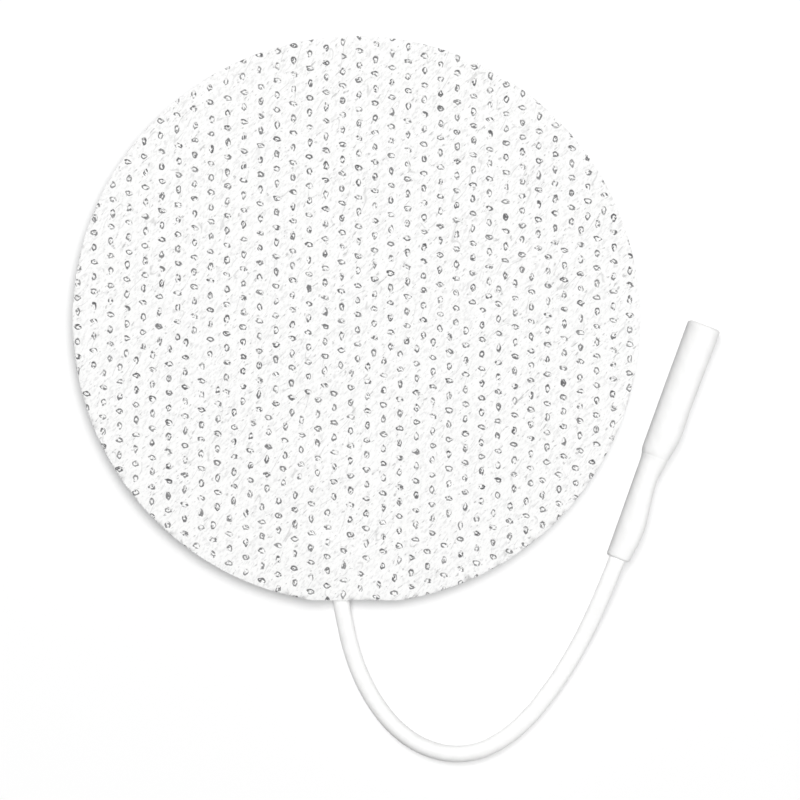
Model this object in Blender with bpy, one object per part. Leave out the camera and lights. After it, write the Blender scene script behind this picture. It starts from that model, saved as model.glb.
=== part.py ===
"""Round self-adhesive stimulation electrode with its lead and 2 mm pin socket.

The pad is a laminate that is die-cut in one stroke: a white point-bonded cloth on
top, a black conductive film under it and a thick sticky gel that faces the skin.
The jacket of the lead is pressed in between cloth and film, so the cloth rises a
little over it and the film dips into the gel. Its bare strands fan out on the
film. At the other end a soft moulded housing holds a rolled metal socket that is
crimped to the conductor.

Metres, +Z up and away from the skin, +Y away from the lead. The origin is the
centre of the pad's circle, on the face that sticks to the skin.
"""
import math

import bmesh
import bpy
import numpy as np
from mathutils import Vector
from mathutils.geometry import delaunay_2d_cdt

MM = 0.001

# Outline of the pad: a circle with a small flat where the lead leaves
PAD_RADIUS = 25.4 * MM
FLAT_INSET = 0.29 * MM
RIM_SEGMENTS = 96
RIM_MARGIN = 0.3 * MM

# The laminate, from the skin up
GEL_THICKNESS = 1.25 * MM
FILM_THICKNESS = 0.08 * MM
CLOTH_THICKNESS = 0.35 * MM
BOND_LINE = 0.03 * MM

# Bond points of the cloth, small pits where its fibres are pressed and fused: straight
# lanes along Y, each lane stepped up from the last
LANE_PITCH = 1.4692 * MM
LANE_STEP = 0.5379 * MM
ROW_PITCH = 1.3142 * MM
ROW_DRIFT = 0.0073 * MM
POINT_LONG = 0.74 * MM
POINT_SHORT = 0.58 * MM
POINT_DEPTH = 0.20 * MM
POINT_SPREAD = 0.08
POINT_JITTER = 0.03 * MM
POINT_MARGIN = 0.12 * MM
WIDE_TILT = math.radians(-18.0)
PATTERN_SEED = 7

# The lanes start afresh at two wandering seams in the cloth, given as X, Y in mm
UPPER_SEAM = ((-26.0, -5.9), (-24.0, -5.9), (-22.9, -4.7), (-15.8, -1.5), (-14.2, -1.8),
              (-11.3, -7.2), (-9.1, -8.6), (-5.4, -8.6), (-4.0, -7.2), (-0.7, -4.8),
              (9.3, -0.6), (10.9, 1.3), (21.1, 9.1), (26.0, 10.2))
LOWER_SEAM = ((-16.0, -26.0), (-14.9, -20.2), (-11.8, -17.2), (-4.1, -14.6), (-2.8, -15.4),
              (-1.6, -16.9), (0.5, -22.0), (1.7, -22.9), (3.2, -22.4), (5.7, -20.2),
              (7.5, -19.5), (8.8, -17.9), (16.1, -14.9), (17.6, -13.3), (26.0, -10.0))
# One bond point of each field: above the seams, between them and below them
FIELD_STARTS = ((0.21 * MM, 12.277 * MM), (12.708 * MM, -7.788 * MM),
                (12.273 * MM, -17.288 * MM))
# Below a third seam, and above a fourth in the corner, all points lie off by a slip
LEFT_SEAM = ((-26.0, 11.5), (-22.0, 8.7), (-20.4, 5.6), (-18.9, 3.4), (-16.7, 1.9),
             (-16.6, -1.9), (-14.2, -1.8), (-11.3, -7.2), (-7.3, -12.5), (-4.1, -14.6),
             (-1.6, -16.9), (0.5, -22.0), (2.6, -26.0))
CORNER_SEAM = ((-22.0, 12.0), (-16.7, 16.0), (-15.2, 16.9), (-13.8, 18.5), (-10.9, 20.8),
               (-7.9, 22.5), (-7.0, 26.0))
SLIP = (-0.161 * MM, 0.175 * MM)

# The lead, how it sits in the pad and how the layers part round it
LEAD_DIAMETER = 1.5 * MM
LEAD_SPACING = 1.5 * MM
LEAD_REST_GAP = 0.02 * MM
LEAD_EXIT_X = -1.39 * MM
LEAD_IN_PAD = 4.0 * MM
LEAD_LEAN = math.radians(6.6)
GEL_UNDER_LEAD = 0.10 * MM
END_GAP = 0.3 * MM
TROUGH_FLANK = 1.65 * MM
TROUGH_RUNOUT = 3.0 * MM
TROUGH_STEPS = 5
RIDGE_FLANK = 5.25 * MM
RIDGE_STEPS = 4

# Route of the lead on the table as X, Y in mm from the point where it leaves the pad,
# and the stretches over which it comes down from the pad and climbs to the socket
LEAD_ROUTE = ((0.34, -1.84), (0.96, -4.47), (1.89, -6.98), (3.20, -9.34), (4.91, -11.42),
              (7.10, -12.98), (9.67, -13.76), (12.34, -13.54), (14.72, -12.33),
              (16.73, -10.59), (18.44, -8.54), (19.97, -6.34), (21.32, -4.03),
              (22.52, -1.63), (23.59, 0.83))
ROUTE_TO_TAIL = (24.77 * MM, 3.74 * MM)
DROP_RUN = 4.5 * MM
CLIMB_RUN = 11.0 * MM

# Bare strands of the lead, fanned out on the film
CONDUCTOR_DIAMETER = 0.54 * MM
STRAND_THICKNESS = 0.12 * MM
STRAND_COUNT = 5
FAN_ROOT = 1.0 * MM
FAN_LENGTH = 7.0 * MM
FAN_HALF_WIDTH = 1.6 * MM
FAN_RUNOUT = 3.0 * MM

# The moulded housing, from the tail on: a waisted grip, a shoulder and a round barrel.
# Walls lie round what is inside it, so its left, right and upper sizes follow from that
HOUSING_HEADING = math.radians(69.5)
HOUSING_CORNER = 0.18 * MM
HOUSING_SIDES = 24
HOUSING_RING_SPACING = 0.8 * MM
POCKET_DEPTH = 2.2 * MM
POCKET_CLEARANCE = 0.05 * MM
TAIL_WALL = 0.25 * MM
GRIP_AT = 2.95 * MM
GRIP_SWELL = (0.04 * MM, 0.34 * MM, 0.15 * MM)
WAIST_AT = 7.70 * MM
WAIST_WALL = (0.56 * MM, 0.30 * MM, 0.55 * MM)
SHOULDER_AT = 9.20 * MM
SHOULDER_LENGTH = 1.10 * MM
SHOULDER_RISE = (0.03 * MM, 0.18 * MM, 0.02 * MM)
BARREL_WALL = 0.28 * MM
BARREL_START = (-0.05 * MM, -0.19 * MM, -0.09 * MM)
BARREL_SWELL_AT = 1.9 * MM
BARREL_SWELL = (-0.03 * MM, 0.09 * MM, 0.0)
BARREL_STRAIGHT_AT = 4.5 * MM
BARREL_BACK = 0.5 * MM
MOUTH_FLARE = 0.05 * MM
MOUTH_CHAMFER = 0.12 * MM
MOUTH_BORE_CLEARANCE = 0.05 * MM

# The rolled socket inside it, for a 2 mm pin, and the crimp behind it
PIN_DIAMETER = 2.0 * MM
CONTACT_WALL = 0.15 * MM
CONTACT_LENGTH = 10.6 * MM
CONTACT_RECESS = 0.9 * MM
CONTACT_NECK = 0.6 * MM
CONTACT_CLEARANCE = 0.03 * MM
CONTACT_SIDES = 24
SEAM_WIDTH = 0.18 * MM
SPRING_SLOT_LENGTH = 5.5 * MM
CRIMP_LENGTH = 3.6 * MM
CRIMP_WALL = 0.28 * MM
CONDUCTOR_IN_CRIMP = 2.9 * MM
CONDUCTOR_PASSAGE = 0.15 * MM
CONDUCTOR_SIDES = 12

# Levels of the laminate away from the lead
FILM_BOTTOM = GEL_THICKNESS + BOND_LINE
FILM_TOP = FILM_BOTTOM + FILM_THICKNESS
CLOTH_BOTTOM = FILM_TOP + BOND_LINE

# The lead lies on the dipped film, and the cloth rises only if the lead stands out
LEAD_RADIUS = LEAD_DIAMETER / 2
TROUGH_HALF_WIDTH = LEAD_RADIUS + TROUGH_FLANK
TROUGH_DEPTH = GEL_THICKNESS - GEL_UNDER_LEAD
LEAD_AXIS_IN_PAD = FILM_TOP - TROUGH_DEPTH + BOND_LINE + LEAD_RADIUS
LEAD_AXIS_ON_TABLE = LEAD_RADIUS + LEAD_REST_GAP
RIDGE_HALF_WIDTH = LEAD_RADIUS + RIDGE_FLANK
RIDGE_HEIGHT = max(0.0, LEAD_AXIS_IN_PAD + LEAD_RADIUS + BOND_LINE - CLOTH_BOTTOM)
STRAND_WIDTH = CONDUCTOR_DIAMETER / STRAND_COUNT

# Radii and lengths of the socket that follow from what is inside it
CONTACT_RADIUS = PIN_DIAMETER / 2 + CONTACT_WALL
CRIMP_RADIUS = CONDUCTOR_DIAMETER / 2 + CONTACT_CLEARANCE + CRIMP_WALL
POCKET_RADIUS = LEAD_RADIUS + POCKET_CLEARANCE
TAIL_HALF_WIDTH = POCKET_RADIUS + TAIL_WALL
BARREL_HALF_WIDTH = CONTACT_RADIUS + CONTACT_CLEARANCE + BARREL_WALL
MOUTH_HALF_WIDTH = BARREL_HALF_WIDTH + MOUTH_FLARE
BARREL_AT = SHOULDER_AT + SHOULDER_LENGTH
CONTACT_BACK = BARREL_AT + BARREL_BACK
CONTACT_FRONT = CONTACT_BACK + CONTACT_LENGTH
HOUSING_LENGTH = CONTACT_FRONT + CONTACT_RECESS
CRIMP_FRONT = CONTACT_BACK - CONTACT_NECK
CRIMP_BACK = CRIMP_FRONT - CRIMP_LENGTH
HOUSING_AXIS_HEIGHT = MOUTH_HALF_WIDTH


def clear_scene():
    for thing in list(bpy.data.objects):
        bpy.data.objects.remove(thing, do_unlink=True)


def material(name, colour, roughness, metallic=0.0, alpha=1.0):
    made = bpy.data.materials.new(name)
    made.use_nodes = True
    shader = made.node_tree.nodes["Principled BSDF"]
    shader.inputs["Base Color"].default_value = (*colour, 1.0)
    shader.inputs["Roughness"].default_value = roughness
    shader.inputs["Metallic"].default_value = metallic
    shader.inputs["Alpha"].default_value = alpha
    made.diffuse_color = (*colour, alpha)
    return made


def add_object(name, mesh, look, parent=None, smooth_below=None):
    """Puts a mesh in the scene, shaded smooth across edges flatter than an angle."""
    made = bpy.data.objects.new(name, mesh)
    bpy.context.collection.objects.link(made)
    mesh.materials.append(look)
    if parent is not None:
        made.parent = parent
    if smooth_below is not None:
        mesh.shade_smooth()
        mesh.set_sharp_from_angle(angle=math.radians(smooth_below))
    return made


def smooth_step(t):
    t = np.clip(t, 0.0, 1.0)
    return t * t * (3.0 - 2.0 * t)


def hump(t):
    """One raised-cosine wave: 1 at the middle, 0 with no slope at t = -1 and 1."""
    return np.where(np.abs(t) < 1.0, 0.5 + 0.5 * np.cos(np.pi * np.clip(t, -1.0, 1.0)), 0.0)


def rim_y(x):
    """Height of the lower rim at x: the circle, cut off by the flat."""
    return -min(math.sqrt(PAD_RADIUS ** 2 - x * x), PAD_RADIUS - FLAT_INSET)


# The lead's run inside the pad, inwards from the rim and across it, and the housing's tail
LEAD_EXIT = np.array((LEAD_EXIT_X, rim_y(LEAD_EXIT_X)))
INWARD = np.array((-math.sin(LEAD_LEAN), math.cos(LEAD_LEAN)))
ACROSS = np.array((INWARD[1], -INWARD[0]))
HOUSING_TAIL = LEAD_EXIT + ROUTE_TO_TAIL
FAN_START = LEAD_IN_PAD + END_GAP
FAN_END = FAN_START + FAN_ROOT + FAN_LENGTH


def along_lead(points):
    """Plan points as distance across the buried lead and distance in from the rim."""
    offset = np.asarray(points) - LEAD_EXIT
    return offset @ ACROSS, offset @ INWARD


def trough(points):
    """How far the film is pressed into the gel: full depth along the jacket, then out."""
    across, inward = along_lead(points)
    fade = 1.0 - smooth_step((inward - FAN_START) / TROUGH_RUNOUT)
    return TROUGH_DEPTH * hump(across / TROUGH_HALF_WIDTH) * fade


def ridge(points):
    """How far the cloth is raised: over the jacket, lower over the strands, then flat."""
    across, inward = along_lead(points)
    fan_lift = (STRAND_THICKNESS + BOND_LINE) / float(hump(FAN_HALF_WIDTH / RIDGE_HALF_WIDTH))
    past_jacket = smooth_step((inward - FAN_START) / TROUGH_RUNOUT)
    past_fan = smooth_step((inward - FAN_END) / FAN_RUNOUT)
    crest = RIDGE_HEIGHT + (fan_lift - RIDGE_HEIGHT) * past_jacket
    return crest * (1.0 - past_fan) * hump(across / RIDGE_HALF_WIDTH)


def pad_outline():
    """The die-cut outline, anticlockwise: arc, corners of the flat, finer by the lead."""
    corner = math.acos(1.0 - FLAT_INSET / PAD_RADIUS)
    angles = [2.0 * math.pi * i / RIM_SEGMENTS - math.pi / 2 for i in range(RIM_SEGMENTS)]
    angles += [-math.pi / 2 - corner, -math.pi / 2 + corner]
    points = []
    for angle in angles:
        x = PAD_RADIUS * math.cos(angle)
        y = PAD_RADIUS * math.sin(angle)
        points.append((x, max(y, -(PAD_RADIUS - FLAT_INSET))))
    for x in LEAD_EXIT_X + np.linspace(-TROUGH_HALF_WIDTH, TROUGH_HALF_WIDTH, 2 * TROUGH_STEPS + 1):
        points.append((x, rim_y(x)))
    points = sorted(points, key=lambda p: math.atan2(p[1], p[0]))
    kept = [points[0]]
    for point in points[1:]:
        if math.dist(point, kept[-1]) > 0.1 * MM and math.dist(point, kept[0]) > 0.1 * MM:
            kept.append(point)
    return np.array(kept)


def triangulate(outline, inner):
    """Delaunay triangles that fill an outline and use the inner points as corners.

    Gives the points, with the outline's first and in order, and the triangles.
    """
    wanted = np.vstack((outline, inner)) if len(inner) else np.array(outline)
    count = len(outline)
    edges = [(i, (i + 1) % count) for i in range(count)]
    coords = [Vector(point) for point in wanted / MM]
    found, _, faces, origin, _, _ = delaunay_2d_cdt(coords, edges, [list(range(count))], 1, 1e-6)
    source = [min(indices) for indices in origin]
    triangles = [tuple(source[corner] for corner in face) for face in faces]
    return wanted, triangles


def sheet_mesh(name, outline, lower, upper):
    """A closed sheet: a lower and an upper triangulated face joined round the outline.

    Each face is given as its plan points, its heights and its triangles, and both
    start with the same outline points.
    """
    (low_plan, low_z, low_tris), (high_plan, high_z, high_tris) = lower, upper
    low = np.column_stack((low_plan, low_z))
    high = np.column_stack((high_plan, high_z))
    shift = len(low)
    faces = [tri[::-1] for tri in low_tris]
    faces += [tuple(corner + shift for corner in tri) for tri in high_tris]
    count = len(outline)
    for i in range(count):
        j = (i + 1) % count
        faces.append((i, j, j + shift, i + shift))
    mesh = bpy.data.meshes.new(name)
    mesh.from_pydata(np.vstack((low, high)).tolist(), [], faces)
    mesh.validate()
    return mesh


def lead_grid(half_width, steps, length, rows):
    """Plan points in a grid along the buried lead, clear of the rim of the pad."""
    across = np.linspace(-half_width, half_width, 2 * steps + 1)
    inward = np.linspace(0.0, length, rows + 1)
    grid = [LEAD_EXIT + ACROSS * a + INWARD * i for i in inward for a in across]
    return np.array([p for p in grid if math.hypot(*p) < PAD_RADIUS - RIM_MARGIN
                     and p[1] > FLAT_INSET - PAD_RADIUS + RIM_MARGIN])


# The bond points of the cloth
def field_of(x, y):
    """Which field of lanes a place of the cloth belongs to: 0 upper, 1 middle, 2 lower."""
    upper = np.interp(x / MM, *zip(*UPPER_SEAM)) * MM
    lower = np.interp(x / MM, *zip(*LOWER_SEAM)) * MM
    if y > upper:
        return 0
    return 1 if y > lower else 2


def has_slipped(x, y):
    """Whether a place lies below the third seam or above the one in the corner."""
    left = np.interp(x / MM, *zip(*LEFT_SEAM)) * MM
    corner = np.interp(x / MM, *zip(*CORNER_SEAM)) * MM
    return y < left or y > corner


def point_centres():
    """Centres of the bond points, each with its row number, lane by lane in every field."""
    reach = int(2 * PAD_RADIUS / ROW_PITCH) + 4
    found = []
    for field, (start_x, start_y) in enumerate(FIELD_STARTS):
        for lane in range(-reach, reach + 1):
            for row in range(-2 * reach, 2 * reach + 1):
                x = start_x + lane * LANE_PITCH - row * ROW_DRIFT
                y = start_y + lane * LANE_STEP - row * ROW_PITCH
                if math.hypot(x, y) > PAD_RADIUS or field_of(x, y) != field:
                    continue
                if has_slipped(x, y):
                    x, y = x + SLIP[0], y + SLIP[1]
                found.append((x, y, row))
    return np.array(found)


def point_rims():
    """Four-cornered rims of the bond points and the deepest place of each.

    Even rows are tall and odd rows are wide and tilted. Those that would cut the
    rim of the pad are left out, and so is one that would touch another at a seam.
    """
    rng = np.random.default_rng(PATTERN_SEED)
    centres = point_centres()
    sizes = 1.0 + rng.uniform(-POINT_SPREAD, POINT_SPREAD, (len(centres), 2))
    jitter = rng.uniform(-POINT_JITTER, POINT_JITTER, (len(centres), 2))
    reach = POINT_LONG * (1.0 + POINT_SPREAD) / 2
    kept, rims = [], []
    for (x, y, row), (size_x, size_y), (shift_x, shift_y) in zip(centres, sizes, jitter):
        x, y = x + shift_x, y + shift_y
        inside = math.hypot(x, y) + reach + POINT_MARGIN < PAD_RADIUS
        if not inside or y - reach - POINT_MARGIN < FLAT_INSET - PAD_RADIUS:
            continue
        if kept and np.hypot(*(np.array(kept) - (x, y)).T).min() < 2.0 * reach:
            continue
        wide = int(row) % 2 == 1
        half_x = (POINT_LONG if wide else POINT_SHORT) / 2 * size_x
        half_y = (POINT_SHORT if wide else POINT_LONG) / 2 * size_y
        tilt = WIDE_TILT if wide else 0.0
        kept.append((x, y))
        for turn in range(4):
            u = half_x * math.cos(turn * math.pi / 2)
            v = half_y * math.sin(turn * math.pi / 2)
            rims.append((x + u * math.cos(tilt) - v * math.sin(tilt),
                         y + u * math.sin(tilt) + v * math.cos(tilt)))
    return np.array(kept), np.array(rims)


def make_gel_and_film(outline, gel_look, film_look):
    """The two layers under the lead share one plan, so that the film lies on the gel."""
    grid = lead_grid(TROUGH_HALF_WIDTH, TROUGH_STEPS, FAN_START + TROUGH_RUNOUT,
                     2 * TROUGH_STEPS)
    plan, triangles = triangulate(outline, grid)
    dip = trough(plan)
    flat = np.zeros(len(plan))
    gel = sheet_mesh("hydrogel", outline, (plan, flat, triangles),
                     (plan, GEL_THICKNESS - dip, triangles))
    add_object("hydrogel", gel, gel_look, smooth_below=30)
    film = sheet_mesh("conductive_film", outline, (plan, FILM_BOTTOM - dip, triangles),
                      (plan, FILM_TOP - dip, triangles))
    add_object("conductive_film", film, film_look, smooth_below=30)


def make_cloth(outline, look):
    """The cloth: a plain underside, and a top with a pit for each bond point."""
    grid = lead_grid(RIDGE_HALF_WIDTH, RIDGE_STEPS, FAN_END + FAN_RUNOUT, 2 * RIDGE_STEPS)
    under_plan, under_triangles = triangulate(outline, grid)
    centres, rims = point_rims()
    top_plan, top_triangles = triangulate(outline, np.vstack((rims, centres)))
    top_z = CLOTH_BOTTOM + CLOTH_THICKNESS + ridge(top_plan)
    top_z[-len(centres):] -= POINT_DEPTH
    cloth = sheet_mesh("backing_cloth", outline,
                       (under_plan, CLOTH_BOTTOM + ridge(under_plan), under_triangles),
                       (top_plan, top_z, top_triangles))
    add_object("backing_cloth", cloth, look)


def make_fan(look):
    """The bare strands: a common root at the jacket's end that frays into fingers."""
    stations = np.linspace(0.0, 1.0, 7)
    sides = []
    for i in range(STRAND_COUNT):
        share = (2.0 * i / (STRAND_COUNT - 1) - 1.0) if STRAND_COUNT > 1 else 0.0
        root = share * (STRAND_COUNT - 1) / 2 * STRAND_WIDTH
        tip = share * (FAN_HALF_WIDTH - STRAND_WIDTH / 2)
        middle = root + (tip - root) * stations ** 1.3
        inward = FAN_START + FAN_ROOT + FAN_LENGTH * stations
        half = STRAND_WIDTH / 2
        sides.append(list(zip(middle - half, inward)))
        sides.append(list(zip(middle + half, inward))[::-1])
    half_root = STRAND_COUNT * STRAND_WIDTH / 2
    corners = [(half_root, FAN_START), (-half_root, FAN_START)]
    for side in sides:
        for corner in side:
            if math.dist(corner, corners[-1]) > 0.01 * MM:
                corners.append(corner)
    outline = np.array([LEAD_EXIT + ACROSS * a + INWARD * i for a, i in corners])
    plan, triangles = triangulate(outline[::-1], np.empty((0, 2)))
    _, inward = along_lead(plan)
    on_film = FILM_TOP + BOND_LINE
    drop = on_film + STRAND_THICKNESS / 2 - LEAD_AXIS_IN_PAD
    low = on_film - drop * (1.0 - smooth_step((inward - FAN_START) / TROUGH_RUNOUT))
    fan = sheet_mesh("conductor_fan", outline, (plan, low, triangles),
                     (plan, low + STRAND_THICKNESS, triangles))
    add_object("conductor_fan", fan, look)


# The lead
def smooth_curve(points, per_span=24):
    """A smooth curve through points, as a dense row: cubic Hermite spans by chord."""
    points = np.asarray(points, float)
    knots = np.concatenate(([0.0], np.cumsum(np.linalg.norm(np.diff(points, axis=0), axis=1))))
    slopes = np.gradient(points, knots, axis=0)
    rows = []
    for i in range(len(points) - 1):
        span = knots[i + 1] - knots[i]
        t = np.linspace(0.0, 1.0, per_span, endpoint=False)[:, None]
        rows.append((2 * t ** 3 - 3 * t ** 2 + 1) * points[i]
                    + (t ** 3 - 2 * t ** 2 + t) * span * slopes[i]
                    + (3 * t ** 2 - 2 * t ** 3) * points[i + 1]
                    + (t ** 3 - t ** 2) * span * slopes[i + 1])
    return np.vstack(rows + [points[-1:]])


def even_points(dense, spacing):
    """Points at equal distances along a dense row of points."""
    lengths = np.linalg.norm(np.diff(dense, axis=0), axis=1)
    travelled = np.concatenate(([0.0], np.cumsum(lengths)))
    count = max(2, int(round(travelled[-1] / spacing)) + 1)
    wanted = np.linspace(0.0, travelled[-1], count)
    return np.column_stack([np.interp(wanted, travelled, dense[:, k]) for k in range(3)])


def make_lead(look):
    """The jacket, from its end between the layers to its end in the housing's pocket."""
    heading = np.array((math.cos(HOUSING_HEADING), math.sin(HOUSING_HEADING)))
    route = [(*(LEAD_EXIT + INWARD * LEAD_IN_PAD), LEAD_AXIS_IN_PAD)]
    route.append((*LEAD_EXIT, LEAD_AXIS_IN_PAD))
    for offset in LEAD_ROUTE:
        place = LEAD_EXIT + np.array(offset) * MM
        down = smooth_step(np.linalg.norm(place - LEAD_EXIT) / DROP_RUN)
        up = 1.0 - smooth_step(np.linalg.norm(place - HOUSING_TAIL) / CLIMB_RUN)
        height = LEAD_AXIS_ON_TABLE + (1.0 - down) * (LEAD_AXIS_IN_PAD - LEAD_AXIS_ON_TABLE)
        height += up * (HOUSING_AXIS_HEIGHT - LEAD_AXIS_ON_TABLE)
        route.append((*place, height))
    route.append((*HOUSING_TAIL, HOUSING_AXIS_HEIGHT))
    route.append((*(HOUSING_TAIL + heading * (POCKET_DEPTH - END_GAP)), HOUSING_AXIS_HEIGHT))
    points = even_points(smooth_curve(route), LEAD_SPACING)
    curve = bpy.data.curves.new("lead_wire", "CURVE")
    curve.dimensions = "3D"
    spline = curve.splines.new("POLY")
    spline.points.add(len(points) - 1)
    for knot, place in zip(spline.points, points):
        knot.co = (*place, 1.0)
        knot.radius = 1.0
    curve.bevel_depth = LEAD_RADIUS
    curve.bevel_resolution = 2
    curve.use_fill_caps = True
    curve.materials.append(look)
    made = bpy.data.objects.new("lead_wire", curve)
    bpy.context.collection.objects.link(made)
    return made


# The socket at the lead's far end, along its own +X from tail to mouth
def housing_sections():
    """Places along the housing with its left edge, right edge and half height there."""
    tail = np.full(3, TAIL_HALF_WIDTH)
    waist = CRIMP_RADIUS + CONTACT_CLEARANCE + np.array(WAIST_WALL)
    barrel = np.full(3, BARREL_HALF_WIDTH)
    return np.array((
        (0.0, *tail),
        (GRIP_AT, *(tail + GRIP_SWELL)),
        (WAIST_AT, *waist),
        (SHOULDER_AT, *(waist + SHOULDER_RISE)),
        (BARREL_AT, *(barrel + BARREL_START)),
        (BARREL_AT + BARREL_SWELL_AT, *(barrel + BARREL_SWELL)),
        (BARREL_AT + BARREL_STRAIGHT_AT, *barrel),
        (HOUSING_LENGTH, *(barrel + MOUTH_FLARE))))


def monotone(x, xs, ys):
    """A smooth curve through (xs, ys) that never swings past them, read at x."""
    secants = np.diff(ys) / np.diff(xs)
    slopes = np.zeros(len(xs))
    for i in range(1, len(xs) - 1):
        if secants[i - 1] * secants[i] > 0.0:
            slopes[i] = 2.0 / (1.0 / secants[i - 1] + 1.0 / secants[i])
    slopes[0], slopes[-1] = secants[0], secants[-1]
    i = int(np.clip(np.searchsorted(xs, x) - 1, 0, len(xs) - 2))
    span = xs[i + 1] - xs[i]
    t = (x - xs[i]) / span
    return ((2 * t ** 3 - 3 * t ** 2 + 1) * ys[i] + (t ** 3 - 2 * t ** 2 + t) * span * slopes[i]
            + (3 * t ** 2 - 2 * t ** 3) * ys[i + 1] + (t ** 3 - t ** 2) * span * slopes[i + 1])


def corner_inset(x):
    """How much the housing's rounded end edges take off its section at x."""
    near = min(x, HOUSING_LENGTH - x)
    if near >= HOUSING_CORNER:
        return 0.0
    return HOUSING_CORNER - math.sqrt(HOUSING_CORNER ** 2 - (HOUSING_CORNER - near) ** 2)


def housing_mesh():
    """A loft through oval sections with a straight left side and a waisted right one."""
    table = housing_sections()
    corner = HOUSING_CORNER * np.array((0.0, 0.3, 1.0))
    waisted = np.arange(HOUSING_RING_SPACING, BARREL_AT + BARREL_SWELL_AT, HOUSING_RING_SPACING)
    places = np.concatenate((corner, HOUSING_LENGTH - corner, table[1:-1, 0], waisted))
    stations = [0.0]
    for place in np.sort(places):
        if place - stations[-1] > HOUSING_CORNER / 4:
            stations.append(place)
    made = bmesh.new()
    rings = []
    for x in stations:
        left, right, high = (monotone(x, table[:, 0], table[:, k]) for k in (1, 2, 3))
        inset = corner_inset(x)
        middle, half = (left - right) / 2, (left + right) / 2 - inset
        ring = []
        for i in range(HOUSING_SIDES):
            angle = 2.0 * math.pi * i / HOUSING_SIDES
            ring.append(made.verts.new((x, middle + half * math.cos(angle),
                                        (high - inset) * math.sin(angle))))
        rings.append(ring)
    made.faces.new(rings[0])
    made.faces.new(rings[-1][::-1])
    for here, there in zip(rings, rings[1:]):
        for i in range(HOUSING_SIDES):
            j = (i + 1) % HOUSING_SIDES
            made.faces.new((here[i], here[j], there[j], there[i]))
    bmesh.ops.recalc_face_normals(made, faces=made.faces)
    mesh = bpy.data.meshes.new("socket_housing")
    made.to_mesh(mesh)
    made.free()
    return mesh


def turned(name, profile, steps):
    """A closed solid turned about X from an outline of (x, radius) corners."""
    made = bmesh.new()
    corners = [made.verts.new((x, 0.0, radius)) for x, radius in profile]
    count = len(corners)
    closed = all(radius > 0.0 for _, radius in profile)
    pairs = range(count if closed else count - 1)
    edges = [made.edges.new((corners[i], corners[(i + 1) % count])) for i in pairs]
    bmesh.ops.spin(made, geom=corners + edges, cent=(0, 0, 0), axis=(1, 0, 0),
                   angle=2.0 * math.pi, steps=steps, use_merge=True)
    bmesh.ops.remove_doubles(made, verts=made.verts, dist=0.001 * MM)
    bmesh.ops.recalc_face_normals(made, faces=made.faces)
    mesh = bpy.data.meshes.new(name)
    made.to_mesh(mesh)
    made.free()
    return mesh


def box_mesh(name, low, high):
    """A rectangular block between two corners."""
    made = bmesh.new()
    bmesh.ops.create_cube(made, size=1.0)
    low, high = np.array(low), np.array(high)
    for corner in made.verts:
        corner.co = (low + high) / 2 + np.array(corner.co) * (high - low)
    mesh = bpy.data.meshes.new(name)
    made.to_mesh(mesh)
    made.free()
    return mesh


def cut(target, name, mesh, look):
    """Takes a shape out of an object with a Boolean, and keeps the cutter as a guide."""
    cutter = add_object(name, mesh, look, parent=target.parent)
    cutter.hide_render = True
    cutter.display_type = "WIRE"
    change = target.modifiers.new(name, "BOOLEAN")
    change.operation = "DIFFERENCE"
    change.solver = "EXACT"
    change.object = cutter


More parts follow.
